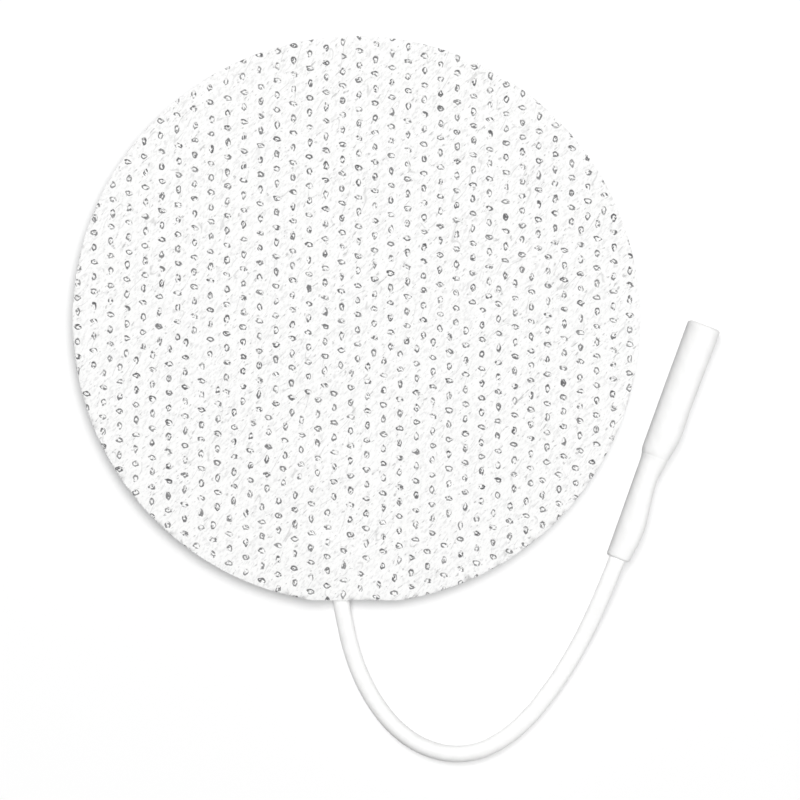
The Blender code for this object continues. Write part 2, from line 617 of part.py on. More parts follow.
def make_socket(housing_look, contact_look, conductor_look):
    """Housing, rolled contact and the conductor's crimped end, all on one axis."""
    axis = bpy.data.objects.new("socket_axis", None)
    bpy.context.collection.objects.link(axis)
    axis.location = (*HOUSING_TAIL, HOUSING_AXIS_HEIGHT)
    axis.rotation_euler = (0.0, 0.0, HOUSING_HEADING)
    play = CONTACT_CLEARANCE
    beyond = PIN_DIAMETER

    housing = add_object("socket_housing", housing_mesh(), housing_look, axis, smooth_below=40)
    passage = CONDUCTOR_DIAMETER / 2 + CONDUCTOR_PASSAGE
    mouth = PIN_DIAMETER / 2 + MOUTH_BORE_CLEARANCE
    bore = ((-beyond, 0.0), (-beyond, POCKET_RADIUS), (POCKET_DEPTH, POCKET_RADIUS),
            (POCKET_DEPTH, passage), (CRIMP_BACK - play, passage),
            (CRIMP_BACK - play, CRIMP_RADIUS + play), (CRIMP_FRONT, CRIMP_RADIUS + play),
            (CONTACT_BACK - play, CONTACT_RADIUS + play),
            (CONTACT_FRONT + play, CONTACT_RADIUS + play), (CONTACT_FRONT + play, mouth),
            (HOUSING_LENGTH - MOUTH_CHAMFER, mouth), (HOUSING_LENGTH, mouth + MOUTH_CHAMFER),
            (HOUSING_LENGTH + beyond, mouth + MOUTH_CHAMFER), (HOUSING_LENGTH + beyond, 0.0))
    cut(housing, "housing_bore", turned("housing_bore", bore, HOUSING_SIDES), housing_look)

    inner = PIN_DIAMETER / 2
    crimp_inner = CRIMP_RADIUS - CRIMP_WALL
    wall = ((CONTACT_FRONT, CONTACT_RADIUS), (CONTACT_BACK, CONTACT_RADIUS),
            (CRIMP_FRONT, CRIMP_RADIUS), (CRIMP_BACK, CRIMP_RADIUS), (CRIMP_BACK, crimp_inner),
            (CRIMP_FRONT, crimp_inner), (CONTACT_BACK, inner), (CONTACT_FRONT, inner))
    contact = add_object("socket_contact", turned("socket_contact", wall, CONTACT_SIDES),
                         contact_look, axis, smooth_below=40)
    half = SEAM_WIDTH / 2
    seam = box_mesh("contact_seam", (CRIMP_BACK - beyond, -half, 0.0),
                    (CONTACT_FRONT + beyond, half, beyond))
    cut(contact, "contact_seam", seam, contact_look)
    slot = box_mesh("spring_slot", (CONTACT_FRONT - SPRING_SLOT_LENGTH, -half, -beyond),
                    (CONTACT_FRONT + beyond, half, 0.0))
    cut(contact, "spring_slot", slot, contact_look)

    radius = CONDUCTOR_DIAMETER / 2
    tip = CRIMP_BACK + CONDUCTOR_IN_CRIMP
    stub = ((POCKET_DEPTH, 0.0), (POCKET_DEPTH, radius), (tip, radius), (tip, 0.0))
    stub_mesh = turned("conductor_crimp_end", stub, CONDUCTOR_SIDES)
    add_object("conductor_crimp_end", stub_mesh, conductor_look, axis, smooth_below=40)


def main():
    clear_scene()
    cloth_look = material("cloth", (0.90, 0.90, 0.89), 0.92)
    film_look = material("carbon_film", (0.03, 0.03, 0.032), 0.55)
    gel_look = material("gel", (0.78, 0.84, 0.85), 0.12, alpha=0.75)
    jacket_look = material("lead_jacket", (0.88, 0.88, 0.87), 0.35)
    housing_look = material("housing_plastic", (0.89, 0.89, 0.88), 0.30)
    contact_look = material("contact_metal", (0.80, 0.76, 0.68), 0.28, metallic=1.0)
    conductor_look = material("tinned_copper", (0.76, 0.72, 0.68), 0.35, metallic=1.0)

    outline = pad_outline()
    make_gel_and_film(outline, gel_look, film_look)
    make_cloth(outline, cloth_look)
    make_fan(conductor_look)
    make_lead(jacket_look)
    make_socket(housing_look, contact_look, conductor_look)


main()
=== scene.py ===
"""The finished look of a round stimulation electrode with its lead and pin socket.

The CAD model is loaded as a fixed frame, in metres, with the origin at the centre of
the pad on the face that sticks to the skin. Each layer, the lead and the socket get a
finer piece in the same place, worked out as whole arrays, and a procedural finish.
"""

import math

import bpy
import numpy as np
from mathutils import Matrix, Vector
from mathutils.geometry import delaunay_2d_cdt


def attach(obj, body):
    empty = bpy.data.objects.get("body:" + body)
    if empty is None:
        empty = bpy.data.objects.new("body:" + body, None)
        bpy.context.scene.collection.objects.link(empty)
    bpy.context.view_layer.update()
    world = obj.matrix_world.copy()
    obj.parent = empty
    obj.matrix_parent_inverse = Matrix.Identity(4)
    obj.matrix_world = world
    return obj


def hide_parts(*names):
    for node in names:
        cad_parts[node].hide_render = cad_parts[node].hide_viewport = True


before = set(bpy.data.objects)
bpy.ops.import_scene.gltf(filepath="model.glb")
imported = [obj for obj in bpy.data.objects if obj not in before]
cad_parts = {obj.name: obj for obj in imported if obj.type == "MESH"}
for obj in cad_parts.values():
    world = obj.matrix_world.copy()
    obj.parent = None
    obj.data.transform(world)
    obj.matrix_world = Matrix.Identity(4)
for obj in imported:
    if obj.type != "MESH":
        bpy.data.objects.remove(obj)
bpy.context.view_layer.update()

MM = 0.001

# The pad's outline and its layers, as in the CAD
PAD_RADIUS = 25.4 * MM
FLAT_INSET = 0.29 * MM
GEL_THICKNESS = 1.25 * MM
FILM_THICKNESS = 0.08 * MM
CLOTH_THICKNESS = 0.35 * MM
BOND_LINE = 0.03 * MM
FILM_BOTTOM = GEL_THICKNESS + BOND_LINE
FILM_TOP = FILM_BOTTOM + FILM_THICKNESS
CLOTH_BOTTOM = FILM_TOP + BOND_LINE
CLOTH_TOP = CLOTH_BOTTOM + CLOTH_THICKNESS

# The pattern of the cloth, as in the CAD
LANE_PITCH = 1.4692 * MM
LANE_STEP = 0.5379 * MM
ROW_PITCH = 1.3142 * MM
ROW_DRIFT = 0.0073 * MM
CAD_LONG = 0.74 * MM
CAD_SPREAD = 0.08
CAD_JITTER = 0.03 * MM
CAD_MARGIN = 0.12 * MM
WIDE_TILT = math.radians(-18.0)
PATTERN_SEED = 7
UPPER_SEAM = ((-26.0, -5.9), (-24.0, -5.9), (-22.9, -4.7), (-15.8, -1.5), (-14.2, -1.8),
              (-11.3, -7.2), (-9.1, -8.6), (-5.4, -8.6), (-4.0, -7.2), (-0.7, -4.8),
              (9.3, -0.6), (10.9, 1.3), (21.1, 9.1), (26.0, 10.2))
LOWER_SEAM = ((-16.0, -26.0), (-14.9, -20.2), (-11.8, -17.2), (-4.1, -14.6), (-2.8, -15.4),
              (-1.6, -16.9), (0.5, -22.0), (1.7, -22.9), (3.2, -22.4), (5.7, -20.2),
              (7.5, -19.5), (8.8, -17.9), (16.1, -14.9), (17.6, -13.3), (26.0, -10.0))
FIELD_STARTS = ((0.21 * MM, 12.277 * MM), (12.708 * MM, -7.788 * MM),
                (12.273 * MM, -17.288 * MM))
LEFT_SEAM = ((-26.0, 11.5), (-22.0, 8.7), (-20.4, 5.6), (-18.9, 3.4), (-16.7, 1.9),
             (-16.6, -1.9), (-14.2, -1.8), (-11.3, -7.2), (-7.3, -12.5), (-4.1, -14.6),
             (-1.6, -16.9), (0.5, -22.0), (2.6, -26.0))
CORNER_SEAM = ((-22.0, 12.0), (-16.7, 16.0), (-15.2, 16.9), (-13.8, 18.5), (-10.9, 20.8),
               (-7.9, 22.5), (-7.0, 26.0))
SLIP = (-0.161 * MM, 0.175 * MM)

# Each mark is a bond point: an oval where the fibres are fused, pressed in round its
# edge. Rings are shares of its half sizes, each with its depth; the outermost is drawn
# in where marks crowd each other at a seam, and the cloth is fused inside FUSED_RING.
MARK_LONG = 0.36 * MM
MARK_SHORT = 0.25 * MM
MARK_SIDES = 14
MARK_RINGS = (1.5, 1.2, 0.98, 0.72, 0.40)
MARK_DEPTHS = (0.0, 0.0, 0.0, 0.07 * MM, 0.06 * MM)
MARK_CENTRE_DEPTH = 0.04 * MM
MARK_OVERHANG = 0.35 * MM
MARK_REACH = MARK_RINGS[0] * MARK_LONG * 1.1
CROWDED = 1.0 * MM
CROWDED_RING = 1.24
FUSED_RING = 1.35
NO_MARK = 9.0
RIM_CRUSH = 0.05 * MM
WAVE_HEIGHT = 0.012 * MM
FILL_PITCH = 0.62 * MM
UNDER_PITCH = 1.2 * MM

# The film and the gel: spacing of their points and how far the gel's edges lie back
FILM_PITCH = 1.5 * MM
TROUGH_PITCH = 0.22 * MM
GEL_FOOT_INSET = 0.10 * MM
GEL_TOP_INSET = 0.05 * MM

# The lead's run in the pad and on the table, as in the CAD
LEAD_RADIUS = 0.75 * MM
LEAD_REST_GAP = 0.02 * MM
LEAD_SPACING = 0.2 * MM
CUT_CORNER = 0.06 * MM
LEAD_EXIT_X = -1.39 * MM
LEAD_IN_PAD = 4.0 * MM
LEAD_LEAN = math.radians(6.6)
GEL_UNDER_LEAD = 0.10 * MM
END_GAP = 0.3 * MM
TROUGH_FLANK = 1.65 * MM
TROUGH_RUNOUT = 3.0 * MM
RIDGE_FLANK = 5.25 * MM
LEAD_ROUTE = ((0.34, -1.84), (0.96, -4.47), (1.89, -6.98), (3.20, -9.34), (4.91, -11.42),
              (7.10, -12.98), (9.67, -13.76), (12.34, -13.54), (14.72, -12.33),
              (16.73, -10.59), (18.44, -8.54), (19.97, -6.34), (21.32, -4.03),
              (22.52, -1.63), (23.59, 0.83))
ROUTE_TO_TAIL = (24.77 * MM, 3.74 * MM)
DROP_RUN = 4.5 * MM
CLIMB_RUN = 11.0 * MM
TROUGH_HALF_WIDTH = LEAD_RADIUS + TROUGH_FLANK
TROUGH_DEPTH = GEL_THICKNESS - GEL_UNDER_LEAD
LEAD_AXIS_IN_PAD = FILM_TOP - TROUGH_DEPTH + BOND_LINE + LEAD_RADIUS
LEAD_AXIS_ON_TABLE = LEAD_RADIUS + LEAD_REST_GAP
RIDGE_HALF_WIDTH = LEAD_RADIUS + RIDGE_FLANK
RIDGE_HEIGHT = LEAD_AXIS_IN_PAD + LEAD_RADIUS + BOND_LINE - CLOTH_BOTTOM

# The bare strands on the film and in the crimp
STRAND_THICKNESS = 0.12 * MM
STRAND_COUNT = 5
FAN_ROOT = 1.0 * MM
FAN_LENGTH = 7.0 * MM
FAN_HALF_WIDTH = 1.6 * MM
FAN_RUNOUT = 3.0 * MM
FAN_START = LEAD_IN_PAD + END_GAP
FAN_END = FAN_START + FAN_ROOT + FAN_LENGTH
CONDUCTOR_RADIUS = 0.27 * MM
FAN_STRAND_RADIUS = 0.052 * MM
FAN_ROOT_HALF = 0.22 * MM
ROPE_LAY = 6.0 * MM

# The housing: place along it, then its left edge, right edge and half height there
HOUSING_HEADING = math.radians(69.5)
HOUSING_LENGTH = 22.3 * MM
HOUSING_AXIS_HEIGHT = 1.51 * MM
HOUSING_SECTIONS = np.array((
    (0.0, 1.05, 1.05, 1.05),
    (2.95, 1.09, 1.39, 1.20),
    (7.70, 1.17, 0.91, 1.16),
    (9.20, 1.20, 1.09, 1.18),
    (10.30, 1.41, 1.27, 1.37),
    (12.20, 1.43, 1.55, 1.46),
    (14.80, 1.46, 1.46, 1.46),
    (22.30, 1.51, 1.51, 1.51))) * MM
MOUTH_CORNER = 0.30 * MM
TAIL_CORNER = 0.20 * MM
POCKET_RADIUS = 0.80 * MM
POCKET_DEPTH = 2.2 * MM
MOULD_RING_AT = 9.72 * MM
MOULD_RING_DEPTH = 0.022 * MM
MOULD_RING_WIDTH = 0.07 * MM
PARTING_RIDGE = 0.018 * MM
PARTING_WIDTH = 0.045

# Inside it: the rolled socket for a 2 mm pin and its crimp
CONTACT_RADIUS = 1.15 * MM
PIN_RADIUS = 1.0 * MM
CONTACT_BACK = 10.8 * MM
CONTACT_FRONT = 21.4 * MM
CRIMP_RADIUS = 0.58 * MM
CRIMP_WALL = 0.28 * MM
CRIMP_FRONT = 10.2 * MM
CRIMP_BACK = 6.6 * MM
CONTACT_PLAY = 0.03 * MM
CONTACT_EDGE = 0.06 * MM
SEAM_WIDTH = 0.18 * MM
SPRING_SLOT_LENGTH = 5.5 * MM
CONDUCTOR_IN_CRIMP = 2.9 * MM
CONDUCTOR_PASSAGE = 0.42 * MM
MOUTH_BORE = 1.05 * MM
MOUTH_CHAMFER = 0.12 * MM

# The table, the lamps and the camera
TABLE_HALF = 1.5
TABLE_DROP = 0.02 * MM
TABLE_TONE = 0.97
SCATTERED_TONE = 0.4
LAMP_AWAY = 1.5
LENS = 300.0
SENSOR = 36.0
VIEW_WIDTH = 71.61 * MM
VIEW_CENTRE = (3.91 * MM, -7.18 * MM)


# Curves and steps that the shapes are built from
def smooth_step(t):
    """3 t squared minus 2 t cubed, with t held between 0 and 1."""
    t = np.clip(t, 0.0, 1.0)
    return t * t * (3.0 - 2.0 * t)


def hermite(t, span, start, end, start_slope, end_slope):
    """A cubic span from start to end: t runs from 0 to 1, and span is its length."""
    return ((2 * t ** 3 - 3 * t ** 2 + 1) * start + (t ** 3 - 2 * t ** 2 + t) * span * start_slope
            + (3 * t ** 2 - 2 * t ** 3) * end + (t ** 3 - t ** 2) * span * end_slope)


def hump(t):
    """Half of one plus the cosine of pi t, and 0 beyond t = -1 and 1."""
    return np.where(np.abs(t) < 1.0, 0.5 + 0.5 * np.cos(np.pi * np.clip(t, -1.0, 1.0)), 0.0)


def rim_y(x):
    """Height of the lower rim at x: the circle, cut off by the flat."""
    return -min(math.sqrt(PAD_RADIUS ** 2 - x * x), PAD_RADIUS - FLAT_INSET)


LEAD_EXIT = np.array((LEAD_EXIT_X, rim_y(LEAD_EXIT_X)))
INWARD = np.array((-math.sin(LEAD_LEAN), math.cos(LEAD_LEAN)))
ACROSS = np.array((INWARD[1], -INWARD[0]))
HOUSING_TAIL = LEAD_EXIT + ROUTE_TO_TAIL
SOCKET_AXIS = np.array((math.cos(HOUSING_HEADING), math.sin(HOUSING_HEADING), 0.0))
SOCKET_LEFT = np.array((-SOCKET_AXIS[1], SOCKET_AXIS[0], 0.0))
UP = np.array((0.0, 0.0, 1.0))


def along_lead(plan):
    """Plan points as distance across the buried lead and distance in from the rim."""
    offset = plan - LEAD_EXIT
    return offset @ ACROSS, offset @ INWARD


def trough(plan):
    """Depth of the film's dip: a hump across the lead, faded out past its inner end."""
    across, inward = along_lead(plan)
    fade = 1.0 - smooth_step((inward - FAN_START) / TROUGH_RUNOUT)
    return TROUGH_DEPTH * hump(across / TROUGH_HALF_WIDTH) * fade


def ridge(plan):
    """Rise of the cloth: a wide hump, lower over the strands and then flat."""
    across, inward = along_lead(plan)
    fan_lift = (STRAND_THICKNESS + BOND_LINE) / float(hump(FAN_HALF_WIDTH / RIDGE_HALF_WIDTH))
    past_jacket = smooth_step((inward - FAN_START) / TROUGH_RUNOUT)
    past_fan = smooth_step((inward - FAN_END) / FAN_RUNOUT)
    crest = RIDGE_HEIGHT + (fan_lift - RIDGE_HEIGHT) * past_jacket
    return crest * (1.0 - past_fan) * hump(across / RIDGE_HALF_WIDTH)


# Meshes from whole arrays
def add_piece(name, points, faces, look, slot, sharp=None):
    """Puts a closed surface in the scene: its points, and faces as arrays of corners.

    The faces are turned round if their signed volume, a sixth of the sum of each
    triangle's triple product, comes out negative.
    """
    points = np.asarray(points, float)
    triangles = np.vstack([face[:, (0, k, k + 1)] for face in faces
                           for k in range(1, face.shape[1] - 1)])
    a, b, c = (points[triangles[:, k]] for k in range(3))
    if np.einsum("ij,ij->i", a, np.cross(b, c)).sum() < 0.0:
        faces = [face[:, ::-1] for face in faces]
    counts = np.concatenate([np.full(len(face), face.shape[1]) for face in faces])
    mesh = bpy.data.meshes.new(name)
    mesh.vertices.add(len(points))
    mesh.vertices.foreach_set("co", points.ravel())
    mesh.loops.add(int(counts.sum()))
    mesh.loops.foreach_set("vertex_index", np.concatenate([f.ravel() for f in faces]))
    mesh.polygons.add(len(counts))
    mesh.polygons.foreach_set("loop_start", np.concatenate(([0], np.cumsum(counts)[:-1])))
    mesh.update(calc_edges=True)
    mesh.shade_smooth()
    if sharp is not None:
        mesh.set_sharp_from_angle(angle=math.radians(sharp))
    mesh.materials.append(look)
    piece = bpy.data.objects.new(name, mesh)
    bpy.context.collection.objects.link(piece)
    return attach(piece, "root")


def grid_faces(rows, columns, closed_rows=False):
    """Quads of a grid of points that closes round its columns, and maybe its rows."""
    last = rows if closed_rows else rows - 1
    i, j = np.meshgrid(np.arange(last), np.arange(columns), indexing="ij")
    i, j = i.ravel(), j.ravel()
    i2, j2 = (i + 1) % rows, (j + 1) % columns
    return np.column_stack((i * columns + j, i2 * columns + j, i2 * columns + j2,
                            i * columns + j2))


def tube(path, radii, sides):
    """A round tube along a path, closed by a pole at each end.

    A point is the path's point plus radius times (cos a times the side vector plus
    sin a times the upper one), for the angle a round the tube.
    """
    tangent = np.gradient(path, axis=0)
    tangent /= np.linalg.norm(tangent, axis=1)[:, None]
    side = np.cross(tangent, UP)
    side /= np.linalg.norm(side, axis=1)[:, None]
    upper = np.cross(side, tangent)
    a = np.linspace(0.0, 2.0 * np.pi, sides, endpoint=False)[None, :, None]
    rings = path[:, None] + radii[:, None, None] * (np.cos(a) * side[:, None]
                                                    + np.sin(a) * upper[:, None])
    count = len(path)
    points = np.vstack((rings.reshape(-1, 3), path[:1], path[-1:]))
    j = np.arange(sides)
    k = (j + 1) % sides
    end = (count - 1) * sides
    caps = np.vstack((np.column_stack((np.full(sides, count * sides), j, k)),
                      np.column_stack((np.full(sides, count * sides + 1), end + k, end + j))))
    return points, [grid_faces(count, sides), caps]


def triangulate(outline, inner):
    """Delaunay triangles of an outline and the points inside it, in their own order."""
    wanted = np.vstack((outline, inner))
    count = len(outline)
    edges = [(i, (i + 1) % count) for i in range(count)]
    coords = [Vector(point) for point in wanted / MM]
    _, _, faces, origin, _, _ = delaunay_2d_cdt(coords, edges, [list(range(count))], 1, 1e-6)
    source = np.array([min(indices) for indices in origin])
    return wanted, source[np.array(faces)]


def closed_sheet(outline, low, low_triangles, high, high_triangles, wall=()):
    """Two faces joined round the outline by rows of quads.

    wall gives rows between the lower and the upper edge as (outward, share of the
    height): each row is the edge moved outwards from the centre by that much.
    """
    count = len(outline)
    outward = outline / np.linalg.norm(outline, axis=1)[:, None]
    rows = []
    for out, share in wall:
        z = low[:count, 2] + share * (high[:count, 2] - low[:count, 2])
        rows.append(np.column_stack((outline + out * outward, z)))
    points = np.vstack([low, high] + rows)
    starts = [0] + [len(low) + len(high) + k * count for k in range(len(rows))] + [len(low)]
    i = np.arange(count)
    j = (i + 1) % count
    quads = [np.column_stack((a + i, a + j, b + j, b + i)) for a, b in zip(starts, starts[1:])]
    return points, [low_triangles[:, ::-1], high_triangles + len(low), np.vstack(quads)]


def pad_outline(step=1.0):
    """The die-cut outline, anticlockwise: points on the circle, held above the flat."""
    corner = math.degrees(math.acos(1.0 - FLAT_INSET / PAD_RADIUS))
    degrees = np.concatenate((np.arange(-90.0, 270.0, step), (-90.0 - corner, -90.0 + corner)))
    angle = np.radians(np.unique(np.round((degrees + 360.0) % 360.0, 4)))
    x = PAD_RADIUS * np.cos(angle)
    y = np.maximum(PAD_RADIUS * np.sin(angle), FLAT_INSET - PAD_RADIUS)
    return np.column_stack((x, y))


def inside_pad(plan, margin):
    """Whether plan points lie inside the outline by at least a margin."""
    above_flat = plan[:, 1] > FLAT_INSET + margin - PAD_RADIUS
    return (np.hypot(*plan.T) < PAD_RADIUS - margin) & above_flat


def staggered(pitch, margin):
    """Points of a staggered grid over the whole pad."""
    rows = int(PAD_RADIUS / (pitch * 0.866)) + 1
    i, j = np.meshgrid(np.arange(-rows, rows + 1), np.arange(-rows, rows + 1))
    plan = np.column_stack(((i + 0.5 * (j % 2)).ravel() * pitch, j.ravel() * 0.866 * pitch))
    return plan[inside_pad(plan, margin)]


# The marks of the cloth
def mark_table():
    """Centre, half sizes, tilt and a number of its own for each mark, as rows.

    Lane n, row m of a field lies at its start plus n times (lane pitch, lane step)
    minus m times (row drift, row pitch), plus the slip beyond the left and corner
    seams. The CAD's own marks come first; those that the rim cuts are only here, and
    those whose centre lies past the rim have no spread of their own.
    """
    rng = np.random.default_rng(PATTERN_SEED)
    reach = int(2 * PAD_RADIUS / ROW_PITCH) + 4
    lane, row = np.meshgrid(np.arange(-reach, reach + 1), np.arange(-2 * reach, 2 * reach + 1),
                            indexing="ij")
    lane, row = lane.ravel(), row.ravel()
    found = []
    for field, (start_x, start_y) in enumerate(FIELD_STARTS):
        x = start_x + lane * LANE_PITCH - row * ROW_DRIFT
        y = start_y + lane * LANE_STEP - row * ROW_PITCH
        upper, lower, left, corner = (np.interp(x / MM, *zip(*seam)) * MM for seam in
                                      (UPPER_SEAM, LOWER_SEAM, LEFT_SEAM, CORNER_SEAM))
        here = np.where(y > upper, 0, np.where(y > lower, 1, 2))
        away = np.hypot(x, y)
        keep = (away <= PAD_RADIUS + MARK_OVERHANG) & (here == field)
        slipped = (y < left) | (y > corner)
        found.append(np.column_stack((x + SLIP[0] * slipped, y + SLIP[1] * slipped, row,
                                      away > PAD_RADIUS))[keep])
    centres = np.vstack(found)
    centres = centres[np.argsort(centres[:, 3], kind="stable")]
    drawn = int((centres[:, 3] == 0.0).sum())
    sizes = np.ones((len(centres), 2))
    sizes[:drawn] += rng.uniform(-CAD_SPREAD, CAD_SPREAD, (drawn, 2))
    centres[:drawn, :2] += rng.uniform(-CAD_JITTER, CAD_JITTER, (drawn, 2))
    cad_reach = CAD_LONG * (1.0 + CAD_SPREAD) / 2
    within = inside_pad(centres[:, :2], cad_reach + CAD_MARGIN)
    kept = []
    for k in np.concatenate((np.flatnonzero(within), np.flatnonzero(~within))):
        if kept and np.hypot(*(centres[kept, :2] - centres[k, :2]).T).min() < 2.0 * cad_reach:
            continue
        kept.append(k)
    centres, sizes = centres[kept], sizes[kept]
    wide = centres[:, 2] % 2 == 1
    half_x = np.where(wide, MARK_LONG, MARK_SHORT) * sizes[:, 0]
    half_y = np.where(wide, MARK_SHORT, MARK_LONG) * sizes[:, 1]
    own = rng.uniform(0.0, 1.0, len(kept))
    return np.column_stack((centres[:, :2], half_x, half_y, np.where(wide, WIDE_TILT, 0.0), own))


def mark_places(marks, rho, angle):
    """Plan points of every mark at given shares of its half sizes and angles."""
    u = rho * np.cos(angle)
    v = rho * np.sin(angle)
    x, y, half_x, half_y, tilt = (column[:, None] for column in marks.T[:5])
    across, along = u * half_x, v * half_y
    return np.stack((x + across * np.cos(tilt) - along * np.sin(tilt),
                     y + across * np.sin(tilt) + along * np.cos(tilt)), axis=-1)


def mark_frame(marks, plan, owner):
    """Plan points in the frame of the mark that owns each, as shares of its half sizes,
    with that mark's number as the third column."""
    x, y, half_x, half_y, tilt, number = marks[owner].T
    dx, dy = plan[:, 0] - x, plan[:, 1] - y
    return np.column_stack(((dx * np.cos(tilt) + dy * np.sin(tilt)) / half_x,
                            (dy * np.cos(tilt) - dx * np.sin(tilt)) / half_y, number))


def cloth_between(marks, whole, outline, angle):
    """The cloth's top round the whole marks, with those that the rim cuts.

    Gives its plan points (the outline, the outermost ring of each whole mark, then the
    rest), its triangles, and each point's place in a mark's frame and distance from
    that mark's centre in half sizes.
    """
    apart = np.linalg.norm(marks[whole, None, :2] - marks[None, whole, :2], axis=2)
    np.fill_diagonal(apart, np.inf)
    outermost = np.where(apart.min(axis=1) < CROWDED, CROWDED_RING, MARK_RINGS[0])[:, None]
    rings = mark_places(marks[whole], outermost, angle).reshape(-1, 2)
    owners = np.repeat(whole, MARK_SIDES)
    # Marks that the rim cuts are made of whatever points of theirs lie inside it
    near = np.setdiff1d(np.arange(len(marks)), whole)
    cut = [mark_places(marks[near], rho, angle).reshape(-1, 2) for rho in MARK_RINGS]
    cut_owner = [np.repeat(near, MARK_SIDES)] * len(MARK_RINGS) + [near]
    cut, cut_owner = np.vstack(cut + [marks[near, :2]]), np.concatenate(cut_owner)
    kept = inside_pad(cut, 0.04 * MM)
    cut, cut_owner = cut[kept], cut_owner[kept]
    fill = staggered(FILL_PITCH, 0.3 * MM)
    gap = np.full(len(fill), np.inf)
    for x, y in marks[:, :2]:
        gap = np.minimum(gap, np.hypot(fill[:, 0] - x, fill[:, 1] - y))
    fill = fill[gap > MARK_REACH + 0.06 * MM]
    plan, triangles = triangulate(outline, np.vstack((rings, cut, fill)))
    owner = np.full(len(plan), -1)
    rings_at = slice(len(outline), len(outline) + len(rings))
    cut_at = slice(rings_at.stop, rings_at.stop + len(cut))
    owner[rings_at] = owners
    corners = owner[triangles]
    own_inside = (corners[:, 0] >= 0) & (corners == corners[:, :1]).all(axis=1)
    to_rim = np.linalg.norm(outline[:, None] - marks[None, near, :2], axis=2)
    frames = np.zeros((len(plan), 3))
    frames[rings_at] = mark_frame(marks, rings, owners)
    frames[cut_at] = mark_frame(marks, cut, cut_owner)
    frames[:len(outline)] = mark_frame(marks, outline, near[to_rim.argmin(axis=1)])
    share = np.hypot(frames[:, 0], frames[:, 1])
    share[rings_at] = share[cut_at.stop:] = NO_MARK
    return plan, triangles[~own_inside], frames, share


def cloth_in_marks(marks, whole, angle, first_ring, first_patch):
    """The inside of every whole mark: rings of points, then its centre.

    Gives their plan points and frames, and the faces from the ring before, whose points
    start at first_ring, inwards. The patch's own points start at first_patch.
    """
    rings = [mark_places(marks[whole], rho, angle) for rho in MARK_RINGS[1:]]
    patches = np.concatenate(rings + [marks[whole, :2][:, None]], axis=1)
    count, per_mark = patches.shape[:2]
    plan = patches.reshape(-1, 2)
    base = first_patch + np.arange(count)[:, None] * per_mark
    side = np.arange(MARK_SIDES)
    ring_of = [first_ring + np.arange(count)[:, None] * MARK_SIDES + side]
    ring_of += [base + k * MARK_SIDES + side for k in range(len(rings))]
    quads = [np.stack((outer, np.roll(outer, -1, 1), np.roll(inner, -1, 1), inner),
                      axis=-1).reshape(-1, 4) for outer, inner in zip(ring_of, ring_of[1:])]
    last = ring_of[-1]
    hub = np.broadcast_to(base + per_mark - 1, last.shape)
    fans = np.stack((last, np.roll(last, -1, 1), hub), axis=-1).reshape(-1, 3)
    return plan, mark_frame(marks, plan, np.repeat(whole, per_mark)), fans, np.vstack(quads)


def make_cloth(look):
    """The cloth: a flat sheet over the lead's ridge, with an oval pit for each mark.

    Height is the cloth's top, plus the ridge, plus a slow wave, less the mark's depth,
    which is read from its rings by the distance from its centre in half sizes.
    """
    marks = mark_table()
    outline = pad_outline()
    angle = np.linspace(0.0, 2.0 * np.pi, MARK_SIDES, endpoint=False)[None, :]
    whole = np.flatnonzero(inside_pad(marks[:, :2], MARK_REACH + 0.05 * MM))
    plan, triangles, frames, share = cloth_between(marks, whole, outline, angle)
    patch_plan, patch_frames, fans, quads = cloth_in_marks(marks, whole, angle,
                                                           len(outline), len(plan))
    inside = np.concatenate((share < FUSED_RING, np.ones(len(patch_plan))))
    share = np.concatenate((share, np.hypot(patch_frames[:, 0], patch_frames[:, 1])))
    plan, frames = np.vstack((plan, patch_plan)), np.vstack((frames, patch_frames))
    rho = np.array((0.0,) + MARK_RINGS[::-1])
    depth = np.array((MARK_CENTRE_DEPTH,) + MARK_DEPTHS[::-1])
    swing = 0.6 + 0.8 * (frames[:, 2] * 7.3 % 1.0)
    x, y = plan.T / MM
    wave = WAVE_HEIGHT * (np.sin(1.9 * x + 0.8 * y) + np.sin(-0.9 * x + 2.3 * y + 1.0))
    height = CLOTH_TOP + ridge(plan) + wave - np.interp(share, rho, depth) * swing
    height[:len(outline)] -= RIM_CRUSH
    top = np.column_stack((plan, height))
    under_plan, under_triangles = triangulate(outline, staggered(UNDER_PITCH, 0.5 * MM))
    under = np.column_stack((under_plan, CLOTH_BOTTOM + ridge(under_plan)))
    points, (lower, upper, wall) = closed_sheet(outline, under, under_triangles, top, triangles)
    shift = len(under)
    cloth = add_piece("cloth_top", points, [lower, upper, fans + shift, quads + shift, wall],
                      look, "cloth", sharp=60)
    mark = cloth.data.attributes.new("mark", "FLOAT_VECTOR", "POINT")
    mark.data.foreach_set("vector", np.vstack((np.zeros((shift, 3)), frames)).ravel())
    fused = cloth.data.attributes.new("fused", "FLOAT", "POINT")
    fused.data.foreach_set("value", np.concatenate((np.zeros(shift), inside)))
    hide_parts("backing_cloth")
    return cloth


def lead_points(pitch, half_width, length):
    """Plan points in a fine grid along the buried lead, clear of the rim."""
    across = np.arange(-half_width, half_width + pitch / 2, pitch)
    inward = np.arange(0.0, length, pitch)
    a, i = np.meshgrid(across, inward)
    plan = LEAD_EXIT + a.reshape(-1, 1) * ACROSS + i.reshape(-1, 1) * INWARD
    return plan[inside_pad(plan, 0.12 * MM)]


